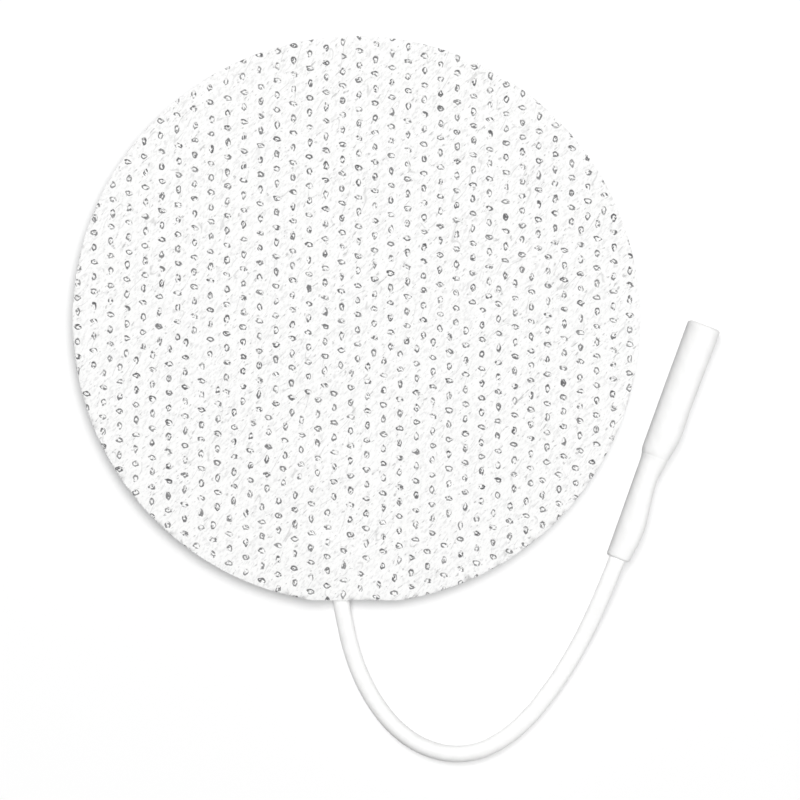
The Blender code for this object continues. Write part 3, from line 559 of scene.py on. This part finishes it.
def make_film_and_gel(film_look, gel_look):
    """Film and gel share one plan; both dip by the trough's depth under the lead.

    The gel's wall swells outwards and is rounded at its lower edge.
    """
    outline = pad_outline()
    trough_end = FAN_START + TROUGH_RUNOUT
    fine = lead_points(TROUGH_PITCH, TROUGH_HALF_WIDTH, trough_end)
    coarse = staggered(FILM_PITCH, 0.6 * MM)
    across, inward = along_lead(coarse)
    clear = (np.abs(across) > TROUGH_HALF_WIDTH + 0.2 * MM) | (inward > trough_end)
    plan, triangles = triangulate(outline, np.vstack((fine, coarse[clear])))
    dip = trough(plan)
    film = add_piece("carbon_film", *closed_sheet(
        outline, np.column_stack((plan, FILM_BOTTOM - dip)), triangles,
        np.column_stack((plan, FILM_TOP - dip)), triangles), film_look, "carbon_film", sharp=40)
    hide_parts("conductive_film")
    inset = plan.copy()
    inset[:len(outline)] *= 1.0 - GEL_FOOT_INSET / PAD_RADIUS
    low = np.column_stack((inset, np.zeros(len(plan))))
    high = np.column_stack((plan, GEL_THICKNESS - dip))
    high[:len(outline), :2] *= 1.0 - GEL_TOP_INSET / PAD_RADIUS
    wall = ((-0.04 * MM, 0.06), (-0.01 * MM, 0.16), (0.02 * MM, 0.40), (0.02 * MM, 0.62),
            (-0.01 * MM, 0.85), (-0.03 * MM, 0.95))
    gel = add_piece("gel_layer", *closed_sheet(outline, low, triangles, high, triangles, wall),
                    gel_look, "gel", sharp=50)
    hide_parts("hydrogel")
    return film, gel


# The lead
def smooth_curve(points, per_span=24):
    """A smooth curve through points: cubic Hermite spans with slopes by chord length."""
    points = np.asarray(points, float)
    knots = np.concatenate(([0.0], np.cumsum(np.linalg.norm(np.diff(points, axis=0), axis=1))))
    slopes = np.gradient(points, knots, axis=0)
    t = np.linspace(0.0, 1.0, per_span, endpoint=False)[None, :, None]
    span = np.diff(knots)[:, None, None]
    rows = hermite(t, span, points[:-1, None], points[1:, None],
                   slopes[:-1, None], slopes[1:, None])
    return np.vstack((rows.reshape(-1, 3), points[-1:]))


def even_points(dense, spacing):
    """Points at equal distances along a dense row of points."""
    lengths = np.linalg.norm(np.diff(dense, axis=0), axis=1)
    travelled = np.concatenate(([0.0], np.cumsum(lengths)))
    wanted = np.linspace(0.0, travelled[-1], round(travelled[-1] / spacing) + 1)
    return np.column_stack([np.interp(wanted, travelled, dense[:, k]) for k in range(3)])


def lead_path():
    """The jacket's centreline, from between the layers to the housing's pocket."""
    inner_end = LEAD_EXIT + INWARD * LEAD_IN_PAD
    route = [(*inner_end, LEAD_AXIS_IN_PAD), (*LEAD_EXIT, LEAD_AXIS_IN_PAD)]
    for offset in LEAD_ROUTE:
        place = LEAD_EXIT + np.array(offset) * MM
        down = smooth_step(np.linalg.norm(place - LEAD_EXIT) / DROP_RUN)
        up = 1.0 - smooth_step(np.linalg.norm(place - HOUSING_TAIL) / CLIMB_RUN)
        height = LEAD_AXIS_ON_TABLE + (1.0 - down) * (LEAD_AXIS_IN_PAD - LEAD_AXIS_ON_TABLE)
        height += up * (HOUSING_AXIS_HEIGHT - LEAD_AXIS_ON_TABLE)
        route.append((*place, height))
    route.append((*HOUSING_TAIL, HOUSING_AXIS_HEIGHT))
    end = HOUSING_TAIL + SOCKET_AXIS[:2] * (POCKET_DEPTH - END_GAP)
    route.append((*end, HOUSING_AXIS_HEIGHT))
    return even_points(smooth_curve(route), LEAD_SPACING)


def make_jacket(look):
    """A round jacket of one radius along the route, its two cut ends slightly rounded."""
    path = lead_path()
    radii = np.full(len(path), LEAD_RADIUS)
    radii[[0, -1]] -= CUT_CORNER
    jacket = add_piece("lead_jacket", *tube(path, radii, 40), look, "lead_jacket", sharp=50)
    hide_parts("lead_wire")
    return jacket, path


# The bare strands
def bundle(name, paths, radius, sides, look, slot, node):
    """Several round strands, each a tube along its own path, joined as one piece."""
    points, faces, shift = [], [], 0
    for path in paths:
        more, more_faces = tube(path, np.full(len(path), radius), sides)
        points.append(more)
        faces += [face + shift for face in more_faces]
        shift += len(more)
    piece = add_piece(name, np.vstack(points), faces, look, slot, sharp=60)
    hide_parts(node)
    return piece


def make_strands(look):
    """Strands on the film: each leaves the root and drifts outwards as a smooth step along the
    fan, to the power 0.8.
    """
    t = np.linspace(0.0, 1.0, 40)
    inward = FAN_START + (FAN_ROOT + FAN_LENGTH) * t
    spread = smooth_step((inward - FAN_START) / FAN_LENGTH) ** 0.8
    paths = []
    for share in np.linspace(-1.0, 1.0, STRAND_COUNT):
        root = share * FAN_ROOT_HALF
        across = root + (share * (FAN_HALF_WIDTH - FAN_STRAND_RADIUS) - root) * spread
        across += 0.05 * MM * np.sin(9.0 * t + 5.0 * share) * t * (1.0 - t)
        plan = LEAD_EXIT + across[:, None] * ACROSS + inward[:, None] * INWARD
        on_film = FILM_TOP + BOND_LINE
        drop = on_film + STRAND_THICKNESS / 2 - LEAD_AXIS_IN_PAD
        low = on_film - drop * (1.0 - smooth_step((inward - FAN_START) / TROUGH_RUNOUT))
        paths.append(np.column_stack((plan, low + STRAND_THICKNESS / 2)))
    return bundle("fanned_strands", paths, FAN_STRAND_RADIUS, 10, look, "tinned_copper",
                  "conductor_fan")


def make_crimped_end(look):
    """Seven strands laid up as a rope: one straight, six round it on a helix."""
    x = np.linspace(POCKET_DEPTH, CRIMP_BACK + CONDUCTOR_IN_CRIMP, 90)
    strand = CONDUCTOR_RADIUS / 3
    paths = [in_socket(x, 0.0 * x, 0.0 * x)]
    for start in np.arange(6) * np.pi / 3:
        turn = start + 2.0 * np.pi * x / ROPE_LAY
        paths.append(in_socket(x, 2 * strand * np.cos(turn), 2 * strand * np.sin(turn)))
    return bundle("crimped_strands", paths, strand * 0.97, 10, look, "tinned_copper",
                  "conductor_crimp_end")


# The socket
def in_socket(x, left, high):
    """Points given along the socket's axis, to its left and above it, in the row frame."""
    tail = np.array((*HOUSING_TAIL, HOUSING_AXIS_HEIGHT))
    return (tail + np.asarray(x)[..., None] * SOCKET_AXIS
            + np.asarray(left)[..., None] * SOCKET_LEFT + np.asarray(high)[..., None] * UP)


def monotone(x, xs, ys):
    """A smooth curve through (xs, ys) that never swings past them: cubic Hermite spans
    whose slope at a point is the harmonic mean of the two chords, or 0 at a turn."""
    chords = np.diff(ys) / np.diff(xs)
    before, after = chords[:-1], chords[1:]
    product = before * after
    safe = np.where(product > 0.0, before + after, 1.0)
    middle = np.where(product > 0.0, 2.0 * product / safe, 0.0)
    slopes = np.concatenate((chords[:1], middle, chords[-1:]))
    i = np.clip(np.searchsorted(xs, x) - 1, 0, len(xs) - 2)
    span = xs[i + 1] - xs[i]
    return hermite((x - xs[i]) / span, span, ys[i], ys[i + 1], slopes[i], slopes[i + 1])


def make_housing(look):
    """The moulding: an oval skin from tail to mouth, then the stepped bore back again.

    A skin point is (middle + half width times cos a, half height times sin a); half
    sizes lose a quarter circle at each end, and gain a fine ridge at the parting line.
    """
    sides = 96
    even = np.linspace(0.0, 2.0 * np.pi, sides, endpoint=False)
    a = even - 0.42 * np.sin(2.0 * even)
    quarter = np.linspace(0.0, np.pi / 2, 7)
    tail_rows = TAIL_CORNER * (1.0 - np.cos(quarter))
    mouth_rows = HOUSING_LENGTH - MOUTH_CORNER * (1.0 - np.cos(quarter))
    ring_mark = MOULD_RING_AT + np.linspace(-0.24, 0.24, 9) * MM
    body = np.arange(0.5 * MM, HOUSING_LENGTH - 0.45 * MM, 0.16 * MM)
    x = np.unique(np.round(np.concatenate((tail_rows, body, ring_mark, mouth_rows)), 7))
    places, left, right, high = HOUSING_SECTIONS.T
    left, right, high = (monotone(x, places, edge) for edge in (left, right, high))
    corner = np.where(x < HOUSING_LENGTH / 2, TAIL_CORNER, MOUTH_CORNER)
    near = np.minimum(np.minimum(x, HOUSING_LENGTH - x), corner)
    inset = corner - np.sqrt(corner ** 2 - (corner - near) ** 2)
    groove = MOULD_RING_DEPTH * np.exp(-((x - MOULD_RING_AT) / MOULD_RING_WIDTH) ** 2)
    middle = (left - right) / 2
    half = (left + right) / 2 - inset - groove
    tall = high - inset - groove
    fade = smooth_step(near / corner)
    parting = PARTING_RIDGE * np.exp(-(np.sin(a) / PARTING_WIDTH) ** 2)
    lift = 1.0 + parting[None, :] * fade[:, None] / half[:, None]
    skin = in_socket(np.broadcast_to(x[:, None], lift.shape),
                     middle[:, None] + half[:, None] * np.cos(a) * lift,
                     tall[:, None] * np.sin(a) * lift)
    play = CONTACT_PLAY
    bore = np.array((
        (HOUSING_LENGTH - 0.02 * MM, MOUTH_BORE + MOUTH_CHAMFER + 0.03 * MM),
        (HOUSING_LENGTH - 0.03 * MM, MOUTH_BORE + MOUTH_CHAMFER),
        (HOUSING_LENGTH - MOUTH_CHAMFER, MOUTH_BORE + 0.02 * MM),
        (HOUSING_LENGTH - 1.3 * MOUTH_CHAMFER, MOUTH_BORE),
        (CONTACT_FRONT + play, MOUTH_BORE), (CONTACT_FRONT + play, CONTACT_RADIUS + play),
        (CONTACT_BACK - play, CONTACT_RADIUS + play), (CRIMP_FRONT, CRIMP_RADIUS + play),
        (CRIMP_BACK - play, CRIMP_RADIUS + play), (CRIMP_BACK - play, CONDUCTOR_PASSAGE),
        (POCKET_DEPTH, CONDUCTOR_PASSAGE), (POCKET_DEPTH, POCKET_RADIUS),
        (0.08 * MM, POCKET_RADIUS), (0.0, POCKET_RADIUS + 0.03 * MM)))
    hole = in_socket(np.broadcast_to(bore[:, :1], (len(bore), sides)),
                     bore[:, 1:] * np.cos(a), bore[:, 1:] * np.sin(a))
    rings = np.concatenate((skin, hole))
    housing = add_piece("housing_moulding", rings.reshape(-1, 3),
                        [grid_faces(len(rings), sides, closed_rows=True)], look,
                        "housing_plastic", sharp=35)
    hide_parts("socket_housing")
    return housing


def make_contact(look):
    """A strip rolled into a tube, with a slit above and a spring slot below.

    Rows run along the axis with an outer and an inner radius each, columns run round
    it. A cell is metal unless it lies in the slit or the slot, and a wall closes each
    edge between a metal cell and an empty one.
    """
    slot_back = CONTACT_FRONT - SPRING_SLOT_LENGTH
    x = np.concatenate(([CRIMP_BACK, CRIMP_BACK + CONTACT_EDGE],
                        np.linspace(CRIMP_BACK + 0.2 * MM, CRIMP_FRONT, 8),
                        np.linspace(CRIMP_FRONT, CONTACT_BACK, 6)[1:],
                        np.linspace(CONTACT_BACK, slot_back, 10)[1:],
                        np.linspace(slot_back, CONTACT_FRONT - CONTACT_EDGE, 12)[1:],
                        [CONTACT_FRONT]))
    neck = smooth_step((x - CRIMP_FRONT) / (CONTACT_BACK - CRIMP_FRONT))
    outer = CRIMP_RADIUS + (CONTACT_RADIUS - CRIMP_RADIUS) * neck
    inner = CRIMP_RADIUS - CRIMP_WALL + (PIN_RADIUS - CRIMP_RADIUS + CRIMP_WALL) * neck
    ease = 0.03 * MM * ((x < CRIMP_BACK + 0.01 * MM) | (x > CONTACT_FRONT - 0.01 * MM))
    outer, inner = outer - ease, inner + ease
    half_slit = SEAM_WIDTH / 2 / CONTACT_RADIUS
    span = np.linspace(half_slit, np.pi - half_slit, 29)
    a = np.concatenate((span, span + np.pi)) + np.pi / 2
    rows, columns = len(x), len(a)
    metal = np.ones((rows - 1, columns), bool)
    metal[:, columns - 1] = False
    metal[x[:-1] >= slot_back - 0.001 * MM, len(span) - 1] = False
    shells = [in_socket(np.broadcast_to(x[:, None], (rows, columns)),
                        radius[:, None] * np.cos(a), radius[:, None] * np.sin(a))
              for radius in (outer, inner)]
    points = np.vstack([shell.reshape(-1, 3) for shell in shells])
    shift = rows * columns
    i, j = np.nonzero(metal)
    k = (j + 1) % columns
    skin = np.column_stack((i * columns + j, (i + 1) * columns + j, (i + 1) * columns + k,
                            i * columns + k))
    faces = [skin, skin[:, ::-1] + shift]
    padded = np.pad(metal, ((1, 1), (0, 0)))
    for step in (-1, 1):
        beyond = padded[1 + step:rows + step, :]
        i, j = np.nonzero(metal & ~beyond)
        k = (j + 1) % columns
        row = i + (step > 0)
        p, q = row * columns + j, row * columns + k
        if step > 0:
            p, q = q, p
        faces.append(np.column_stack((p, q, q + shift, p + shift)))
        i, j = np.nonzero(metal & ~np.roll(metal, -step, axis=1))
        column = (j + (step > 0)) % columns
        p, q = i * columns + column, (i + 1) * columns + column
        if step < 0:
            p, q = q, p
        faces.append(np.column_stack((p, q, q + shift, p + shift)))
    used = np.unique(np.concatenate([face.ravel() for face in faces]))
    renumber = np.zeros(len(points), int)
    renumber[used] = np.arange(len(used))
    contact = add_piece("rolled_contact", points[used], [renumber[face] for face in faces], look,
                        "contact_metal", sharp=40)
    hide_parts("socket_contact")
    return contact


# Finishes
def add_step(tree, kind, inputs=(), out=0, **settings):
    """Adds a node with its settings, feeds its inputs and gives one of its outputs."""
    node = tree.nodes.new(kind)
    for key, value in settings.items():
        setattr(node, key, value)
    for key, value in dict(inputs).items():
        if isinstance(value, bpy.types.NodeSocket):
            tree.links.new(value, node.inputs[key])
        else:
            node.inputs[key].default_value = value
    return node.outputs[out]


class Recipe:
    """One material's nodes: each method adds a step and gives its result."""

    def __init__(self, name, **constants):
        self.material = bpy.data.materials.new(name)
        self.material.use_nodes = True
        self.tree = self.material.node_tree
        self.shader = self.tree.nodes["Principled BSDF"]
        for key, value in constants.items():
            self.shader.inputs[key.replace("_", " ")].default_value = value

    def step(self, kind, inputs=(), out=0, **settings):
        """Adds one node to this material, as add_step does."""
        return add_step(self.tree, kind, inputs, out, **settings)

    def place(self, turn=0.0, scale=(1.0, 1.0, 1.0)):
        """Object coordinates in millimetres, along and across a direction, stretched."""
        here = self.step("ShaderNodeTexCoord", out="Object")
        turned = self.step("ShaderNodeMapping", {
            "Vector": here, "Rotation": (0.0, 0.0, -math.radians(turn)),
            "Scale": (1.0 / MM, 1.0 / MM, 1.0 / MM)})
        return self.step("ShaderNodeVectorMath", {0: turned, 1: scale}, operation="MULTIPLY")

    def noise(self, where, scale=1.0, detail=2.0, roughness=0.5, distortion=0.0, out="Fac"):
        """Fractal noise at a place, with this many extra octaves."""
        return self.step("ShaderNodeTexNoise", {
            "Vector": where, "Scale": scale, "Detail": detail, "Roughness": roughness,
            "Distortion": distortion}, out=out)

    def sums(self, operation, a, b=0.0, clamp=False):
        """One sum of two values, or of the first alone."""
        return self.step("ShaderNodeMath", {0: a, 1: b}, operation=operation, use_clamp=clamp)

    def ramp(self, value, start, end, low=0.0, high=1.0, smooth=True):
        """Reads a value from start to end as low to high, held at both ends."""
        kind = "SMOOTHSTEP" if smooth else "LINEAR"
        return self.step("ShaderNodeMapRange", {0: value, 1: start, 2: end, 3: low, 4: high},
                         interpolation_type=kind)

    def tint(self, share, a, b):
        """Colour a where the share is 0 and colour b where it is 1."""
        ends = [end if isinstance(end, bpy.types.NodeSocket) else (*end, 1.0) for end in (a, b)]
        return self.step("ShaderNodeMix", {"Factor": share, 6: ends[0], 7: ends[1]}, 2,
                         data_type="RGBA")

    def bump(self, height, distance, before=None):
        """Relief of a height from 0 to 1 times a distance in metres."""
        inputs = {"Height": height, "Distance": distance, "Strength": 1.0}
        if before is not None:
            inputs["Normal"] = before
        return self.step("ShaderNodeBump", inputs)

    def feed(self, **sockets):
        """Links the results to the shader's own sockets and gives the material."""
        for key, socket in sockets.items():
            self.tree.links.new(socket, self.shader.inputs[key.replace("_", " ")])
        return self.material


def cloth_finish():
    """Matt white fibres laid mostly along one slant, with grey see-through bond points."""
    r = Recipe("white_non_woven", Specular_IOR_Level=0.25, Sheen_Weight=0.15, Sheen_Roughness=0.5)
    steep = r.noise(r.place(62.0, (2.0, 5.0, 1.0)), 1.0, 2.0, 0.6, distortion=0.5)
    slanting = r.noise(r.place(40.0, (1.8, 4.4, 1.0)), 1.0, 2.0, 0.6, distortion=0.5)
    cloud = r.noise(r.place(), 0.45, 2.0, 0.5)
    fibre = r.sums("ADD", r.sums("MULTIPLY", steep, 0.5), r.sums("MULTIPLY", slanting, 0.5))
    # The bond points, in the frame of each
    mark = r.step("ShaderNodeAttribute", attribute_name="mark", out="Vector")
    fused = r.step("ShaderNodeAttribute", attribute_name="fused", out="Fac")
    shade = r.ramp(fibre, 0.36, 0.54, 1.0, 0.0)
    shade = r.sums("MULTIPLY", shade, r.ramp(cloud, 0.3, 0.7, 1.0, 0.6))
    shade = r.sums("MULTIPLY", shade, r.ramp(fused, 0.0, 0.6, 1.0, 0.25))
    fabric = r.tint(shade, (0.965, 0.965, 0.96), (0.78, 0.78, 0.78))
    parts = r.step("ShaderNodeSeparateXYZ", {0: mark}).node
    u, v, number = parts.outputs[0], parts.outputs[1], parts.outputs[2]
    flat = r.step("ShaderNodeCombineXYZ", {0: u, 1: v, 2: r.sums("MULTIPLY", number, 91.0)})
    swirl = r.noise(flat, 1.0, 0.0, out="Color")
    shift = r.step("ShaderNodeVectorMath", {0: swirl, 1: (-0.5, -0.5, -0.5)}, operation="ADD")
    warped = r.step("ShaderNodeVectorMath", {0: shift, 1: (0.8, 0.8, 0.0), 2: flat},
                    operation="MULTIPLY_ADD")
    plane = r.step("ShaderNodeVectorMath", {0: warped, 1: (1.0, 1.0, 0.0)}, operation="MULTIPLY")
    rho = r.step("ShaderNodeVectorMath", {0: plane}, operation="LENGTH", out="Value")
    off_ring = r.sums("ABSOLUTE", r.sums("SUBTRACT", rho, 0.72))
    ring = r.ramp(off_ring, 0.06, 0.40, 1.0, 0.0)
    breaks = r.ramp(r.noise(flat, 1.0, 0.0), 0.36, 0.52, 0.15, 1.0)
    blobs = r.ramp(r.noise(flat, 1.7, 0.0), 0.56, 0.66, 0.0, 1.0)
    core = r.ramp(rho, 0.75, 1.0, 1.0, 0.0)
    dark = r.sums("MAXIMUM", r.sums("MULTIPLY", ring, breaks), r.sums("MULTIPLY", blobs, core))
    own = r.step("ShaderNodeTexWhiteNoise", {"W": number}, noise_dimensions="1D", out="Value")
    dark = r.sums("MULTIPLY", dark, r.ramp(own, 0.0, 1.0, 0.78, 1.0, smooth=False))
    dark = r.sums("MULTIPLY", dark, fused, clamp=True)
    # Stray specks, and long stray fibres along one contour of a slow noise
    speck = r.ramp(r.noise(r.place(45.0, (1.9, 4.2, 1.0)), 1.0, 1.0, 0.5), 0.66, 0.74, 0.0, 0.36)
    lines = r.noise(r.place(60.0, (0.22, 0.8, 1.0)), 1.0, 0.0)
    stray = r.ramp(r.sums("ABSOLUTE", r.sums("SUBTRACT", lines, 0.46)), 0.005, 0.018, 0.22, 0.0)
    stray = r.sums("MULTIPLY", stray, r.ramp(r.noise(r.place(), 0.9, 1.0, 0.5), 0.52, 0.60))
    dark = r.sums("MAXIMUM", dark, r.sums("MAXIMUM", speck, stray))
    colour = r.tint(dark, fabric, (0.07, 0.07, 0.075))
    rough = r.ramp(dark, 0.0, 1.0, 0.92, 0.45)
    relief = r.bump(fibre, 0.02 * MM)
    return r.feed(Base_Color=colour, Roughness=rough, Normal=relief)


def film_finish():
    """Carbon-filled film: near black and matt, with a faint calendered grain."""
    r = Recipe("carbon_film", Specular_IOR_Level=0.4)
    grain = r.noise(r.place(12.0, (6.0, 2.5, 6.0)), 1.0, 4.0, 0.6)
    blot = r.noise(r.place(), 0.8, 2.0, 0.5)
    colour = r.tint(r.ramp(grain, 0.35, 0.7), (0.016, 0.016, 0.018), (0.045, 0.045, 0.048))
    rough = r.ramp(blot, 0.3, 0.7, 0.48, 0.66)
    return r.feed(Base_Color=colour, Roughness=rough, Normal=r.bump(grain, 0.008 * MM))


def gel_finish():
    """Moist clear gel with a slight haze and a few small bubbles."""
    r = Recipe("hydrogel", IOR=1.39, Transmission_Weight=0.6, Specular_IOR_Level=0.5)
    haze = r.noise(r.place(), 0.9, 3.0, 0.55)
    cells = r.step("ShaderNodeTexVoronoi", {"Vector": r.place(), "Scale": 1.1}, out="Distance")
    bubble = r.ramp(cells, 0.05, 0.11, 1.0, 0.0)
    colour = r.tint(r.ramp(haze, 0.3, 0.7), (0.50, 0.54, 0.55), (0.62, 0.66, 0.67))
    colour = r.tint(r.sums("MULTIPLY", bubble, 0.5), colour, (0.80, 0.83, 0.83))
    rough = r.ramp(haze, 0.3, 0.7, 0.14, 0.26)
    relief = r.bump(r.noise(r.place(), 2.2, 2.0, 0.5), 0.02 * MM)
    return r.feed(Base_Color=colour, Roughness=rough, Normal=relief)


def jacket_finish():
    """Soft white satin jacket with faint clouding and a fine grain."""
    r = Recipe("lead_jacket", Specular_IOR_Level=0.3)
    cloud = r.noise(r.place(), 1.2, 3.0, 0.55)
    fine = r.noise(r.place(), 14.0, 2.0, 0.5)
    colour = r.tint(r.ramp(cloud, 0.3, 0.7), (0.91, 0.91, 0.905), (0.95, 0.95, 0.945))
    rough = r.ramp(cloud, 0.3, 0.7, 0.50, 0.62)
    relief = r.bump(fine, 0.003 * MM, r.bump(cloud, 0.012 * MM))
    return r.feed(Base_Color=colour, Roughness=rough, Normal=relief)


def housing_finish():
    """White satin moulding: fine spark-eroded grain, faint flow marks."""
    r = Recipe("housing_plastic", Specular_IOR_Level=0.3)
    flow = r.noise(r.place(20.5, (1.6, 0.5, 1.0)), 1.0, 3.0, 0.5)
    grain = r.noise(r.place(), 16.0, 2.0, 0.6)
    colour = r.tint(r.ramp(flow, 0.3, 0.7), (0.915, 0.915, 0.91), (0.95, 0.95, 0.945))
    rough = r.ramp(grain, 0.3, 0.7, 0.46, 0.58)
    relief = r.bump(grain, 0.004 * MM, r.bump(flow, 0.015 * MM))
    return r.feed(Base_Color=colour, Roughness=rough, Normal=relief)


def metal_finish(name, dark, light, rough_low, rough_high, turn):
    """Drawn metal: fine scratches along the axis and soft cloudy tarnish."""
    r = Recipe(name, Metallic=1.0)
    scratch = r.noise(r.place(turn, (0.8, 14.0, 14.0)), 1.0, 3.0, 0.6)
    tarnish = r.noise(r.place(), 1.4, 2.0, 0.5)
    colour = r.tint(r.ramp(tarnish, 0.3, 0.7), dark, light)
    rough = r.ramp(scratch, 0.3, 0.7, rough_low, rough_high)
    return r.feed(Base_Color=colour, Roughness=rough, Normal=r.bump(scratch, 0.004 * MM))


# The table, the light and the camera
def camera_share(tree):
    """1 for rays that see the backdrop directly, in a mirror or through something, and 0
    for those that have been scattered on the way."""
    rays = add_step(tree, "ShaderNodeLightPath").node.outputs
    seen = rays["Is Camera Ray"]
    for other in ("Is Glossy Ray", "Is Transmission Ray"):
        seen = add_step(tree, "ShaderNodeMath", {0: seen, 1: rays[other]}, operation="MAXIMUM")
    straight = add_step(tree, "ShaderNodeMath", {0: rays["Diffuse Depth"], 1: 0.5},
                        operation="LESS_THAN")
    return add_step(tree, "ShaderNodeMath", {0: straight, 1: seen}, operation="MULTIPLY")


def make_stage(lift):
    """A wide pale table. Its own light, seen by the camera only, lifts it to white, and
    it throws little light back up, so that what lies on it keeps its shadow."""
    half, low = TABLE_HALF, -TABLE_DROP
    mesh = bpy.data.meshes.new("table")
    mesh.from_pydata([(-half, -half, low), (half, -half, low), (half, half, low),
                      (-half, half, low)], [], [(0, 1, 2, 3)])
    table = bpy.data.objects.new("table", mesh)
    bpy.context.collection.objects.link(table)
    look = bpy.data.materials.new("table_white")
    look.use_nodes = True
    tree = look.node_tree
    tree.nodes.remove(tree.nodes["Principled BSDF"])
    share = camera_share(tree)
    tone = add_step(tree, "ShaderNodeMapRange", {0: share, 3: SCATTERED_TONE, 4: TABLE_TONE})
    paint = add_step(tree, "ShaderNodeBsdfDiffuse", {"Color": tone})
    strength = add_step(tree, "ShaderNodeMath", {0: share, 1: lift}, operation="MULTIPLY")
    glow = add_step(tree, "ShaderNodeEmission", {"Strength": strength})
    both = add_step(tree, "ShaderNodeAddShader", {0: paint, 1: glow})
    tree.links.new(both, tree.nodes["Material Output"].inputs["Surface"])
    mesh.materials.append(look)
    return table


def make_world(level):
    """An even pale surround at a plain level, and plain white behind everything."""
    world = bpy.data.worlds.new("studio")
    world.use_nodes = True
    tree = world.node_tree
    sky = tree.nodes["Background"].inputs
    strength = add_step(tree, "ShaderNodeMapRange", {0: camera_share(tree), 3: level, 4: 1.0})
    tree.links.new(strength, sky["Strength"])
    sky["Color"].default_value = (1.0, 1.0, 1.0, 1.0)
    bpy.context.scene.world = world


def make_lamp(name, heading, tilt, size, power, shaded, lit=()):
    """A round soft lamp, turned to the object from afar.

    heading is the side that it stands on, in degrees anticlockwise from +X, and tilt
    its angle from straight above. Only the pieces in shaded throw its shadow, and it
    lights only the pieces in lit, or everything if there are none.
    """
    turn, lean = math.radians(heading), math.radians(tilt)
    light = bpy.data.lights.new(name, "AREA")
    light.shape = "DISK"
    light.size = size
    light.energy = power
    lamp = bpy.data.objects.new(name, light)
    lamp.location = LAMP_AWAY * Vector((math.sin(lean) * math.cos(turn),
                                        math.sin(lean) * math.sin(turn), math.cos(lean)))
    lamp.rotation_euler = (-lamp.location).to_track_quat("-Z", "Y").to_euler()
    lamp.visible_camera = False
    bpy.context.collection.objects.link(lamp)
    for link, pieces in (("blocker_collection", shaded), ("receiver_collection", lit)):
        if pieces:
            group = bpy.data.collections.new(f"{name}_{link}")
            for piece in pieces:
                group.objects.link(piece)
            setattr(lamp.light_linking, link, group)


def make_camera():
    """Straight above, with a long lens, as far off as its view is wide at the cloth."""
    data = bpy.data.cameras.new("camera")
    data.lens = LENS
    data.sensor_width = SENSOR
    camera = bpy.data.objects.new("camera", data)
    camera.location = (*VIEW_CENTRE, CLOTH_TOP + VIEW_WIDTH * LENS / SENSOR)
    bpy.context.collection.objects.link(camera)
    bpy.context.scene.camera = camera


make_camera()
table = make_stage(lift=0.01)
make_world(level=0.07)

scene = bpy.context.scene
scene.view_settings.view_transform = "Standard"

strand_look = metal_finish("tinned_copper", (0.70, 0.66, 0.62), (0.82, 0.79, 0.75),
                           0.28, 0.45, -6.6)
jacket, jacket_path = make_jacket(jacket_finish())
housing = make_housing(housing_finish())
contact = make_contact(metal_finish("contact_metal", (0.74, 0.70, 0.62), (0.86, 0.83, 0.77),
                                    0.20, 0.38, 69.5))
crimped = make_crimped_end(strand_look)
strands = make_strands(strand_look)
film, gel = make_film_and_gel(film_finish(), gel_finish())
cloth = make_cloth(cloth_finish())
pad_pieces = [cloth, film, gel, strands]
lead_pieces = [jacket, housing, contact, crimped]
# The photo's shadows fall two ways: the pad's to the lower left, from the right lamp, and
# the lead's to the lower right, from the left lamp. The pad doesn't stop the left lamp,
# so the clear gel is kept out of its light. The low lamps light the lead's flanks.
make_lamp("right_lamp", 60.0, 17.5, 0.90, 13.5, pad_pieces)
make_lamp("left_lamp", 112.0, 18.0, 0.85, 11.0, lead_pieces,
          [table, cloth, film, strands, *lead_pieces])
make_lamp("low_right_lamp", -40.0, 84.0, 0.25, 7.2, lead_pieces, lead_pieces)
make_lamp("low_left_lamp", 165.0, 84.0, 0.25, 5.0, lead_pieces, [jacket])
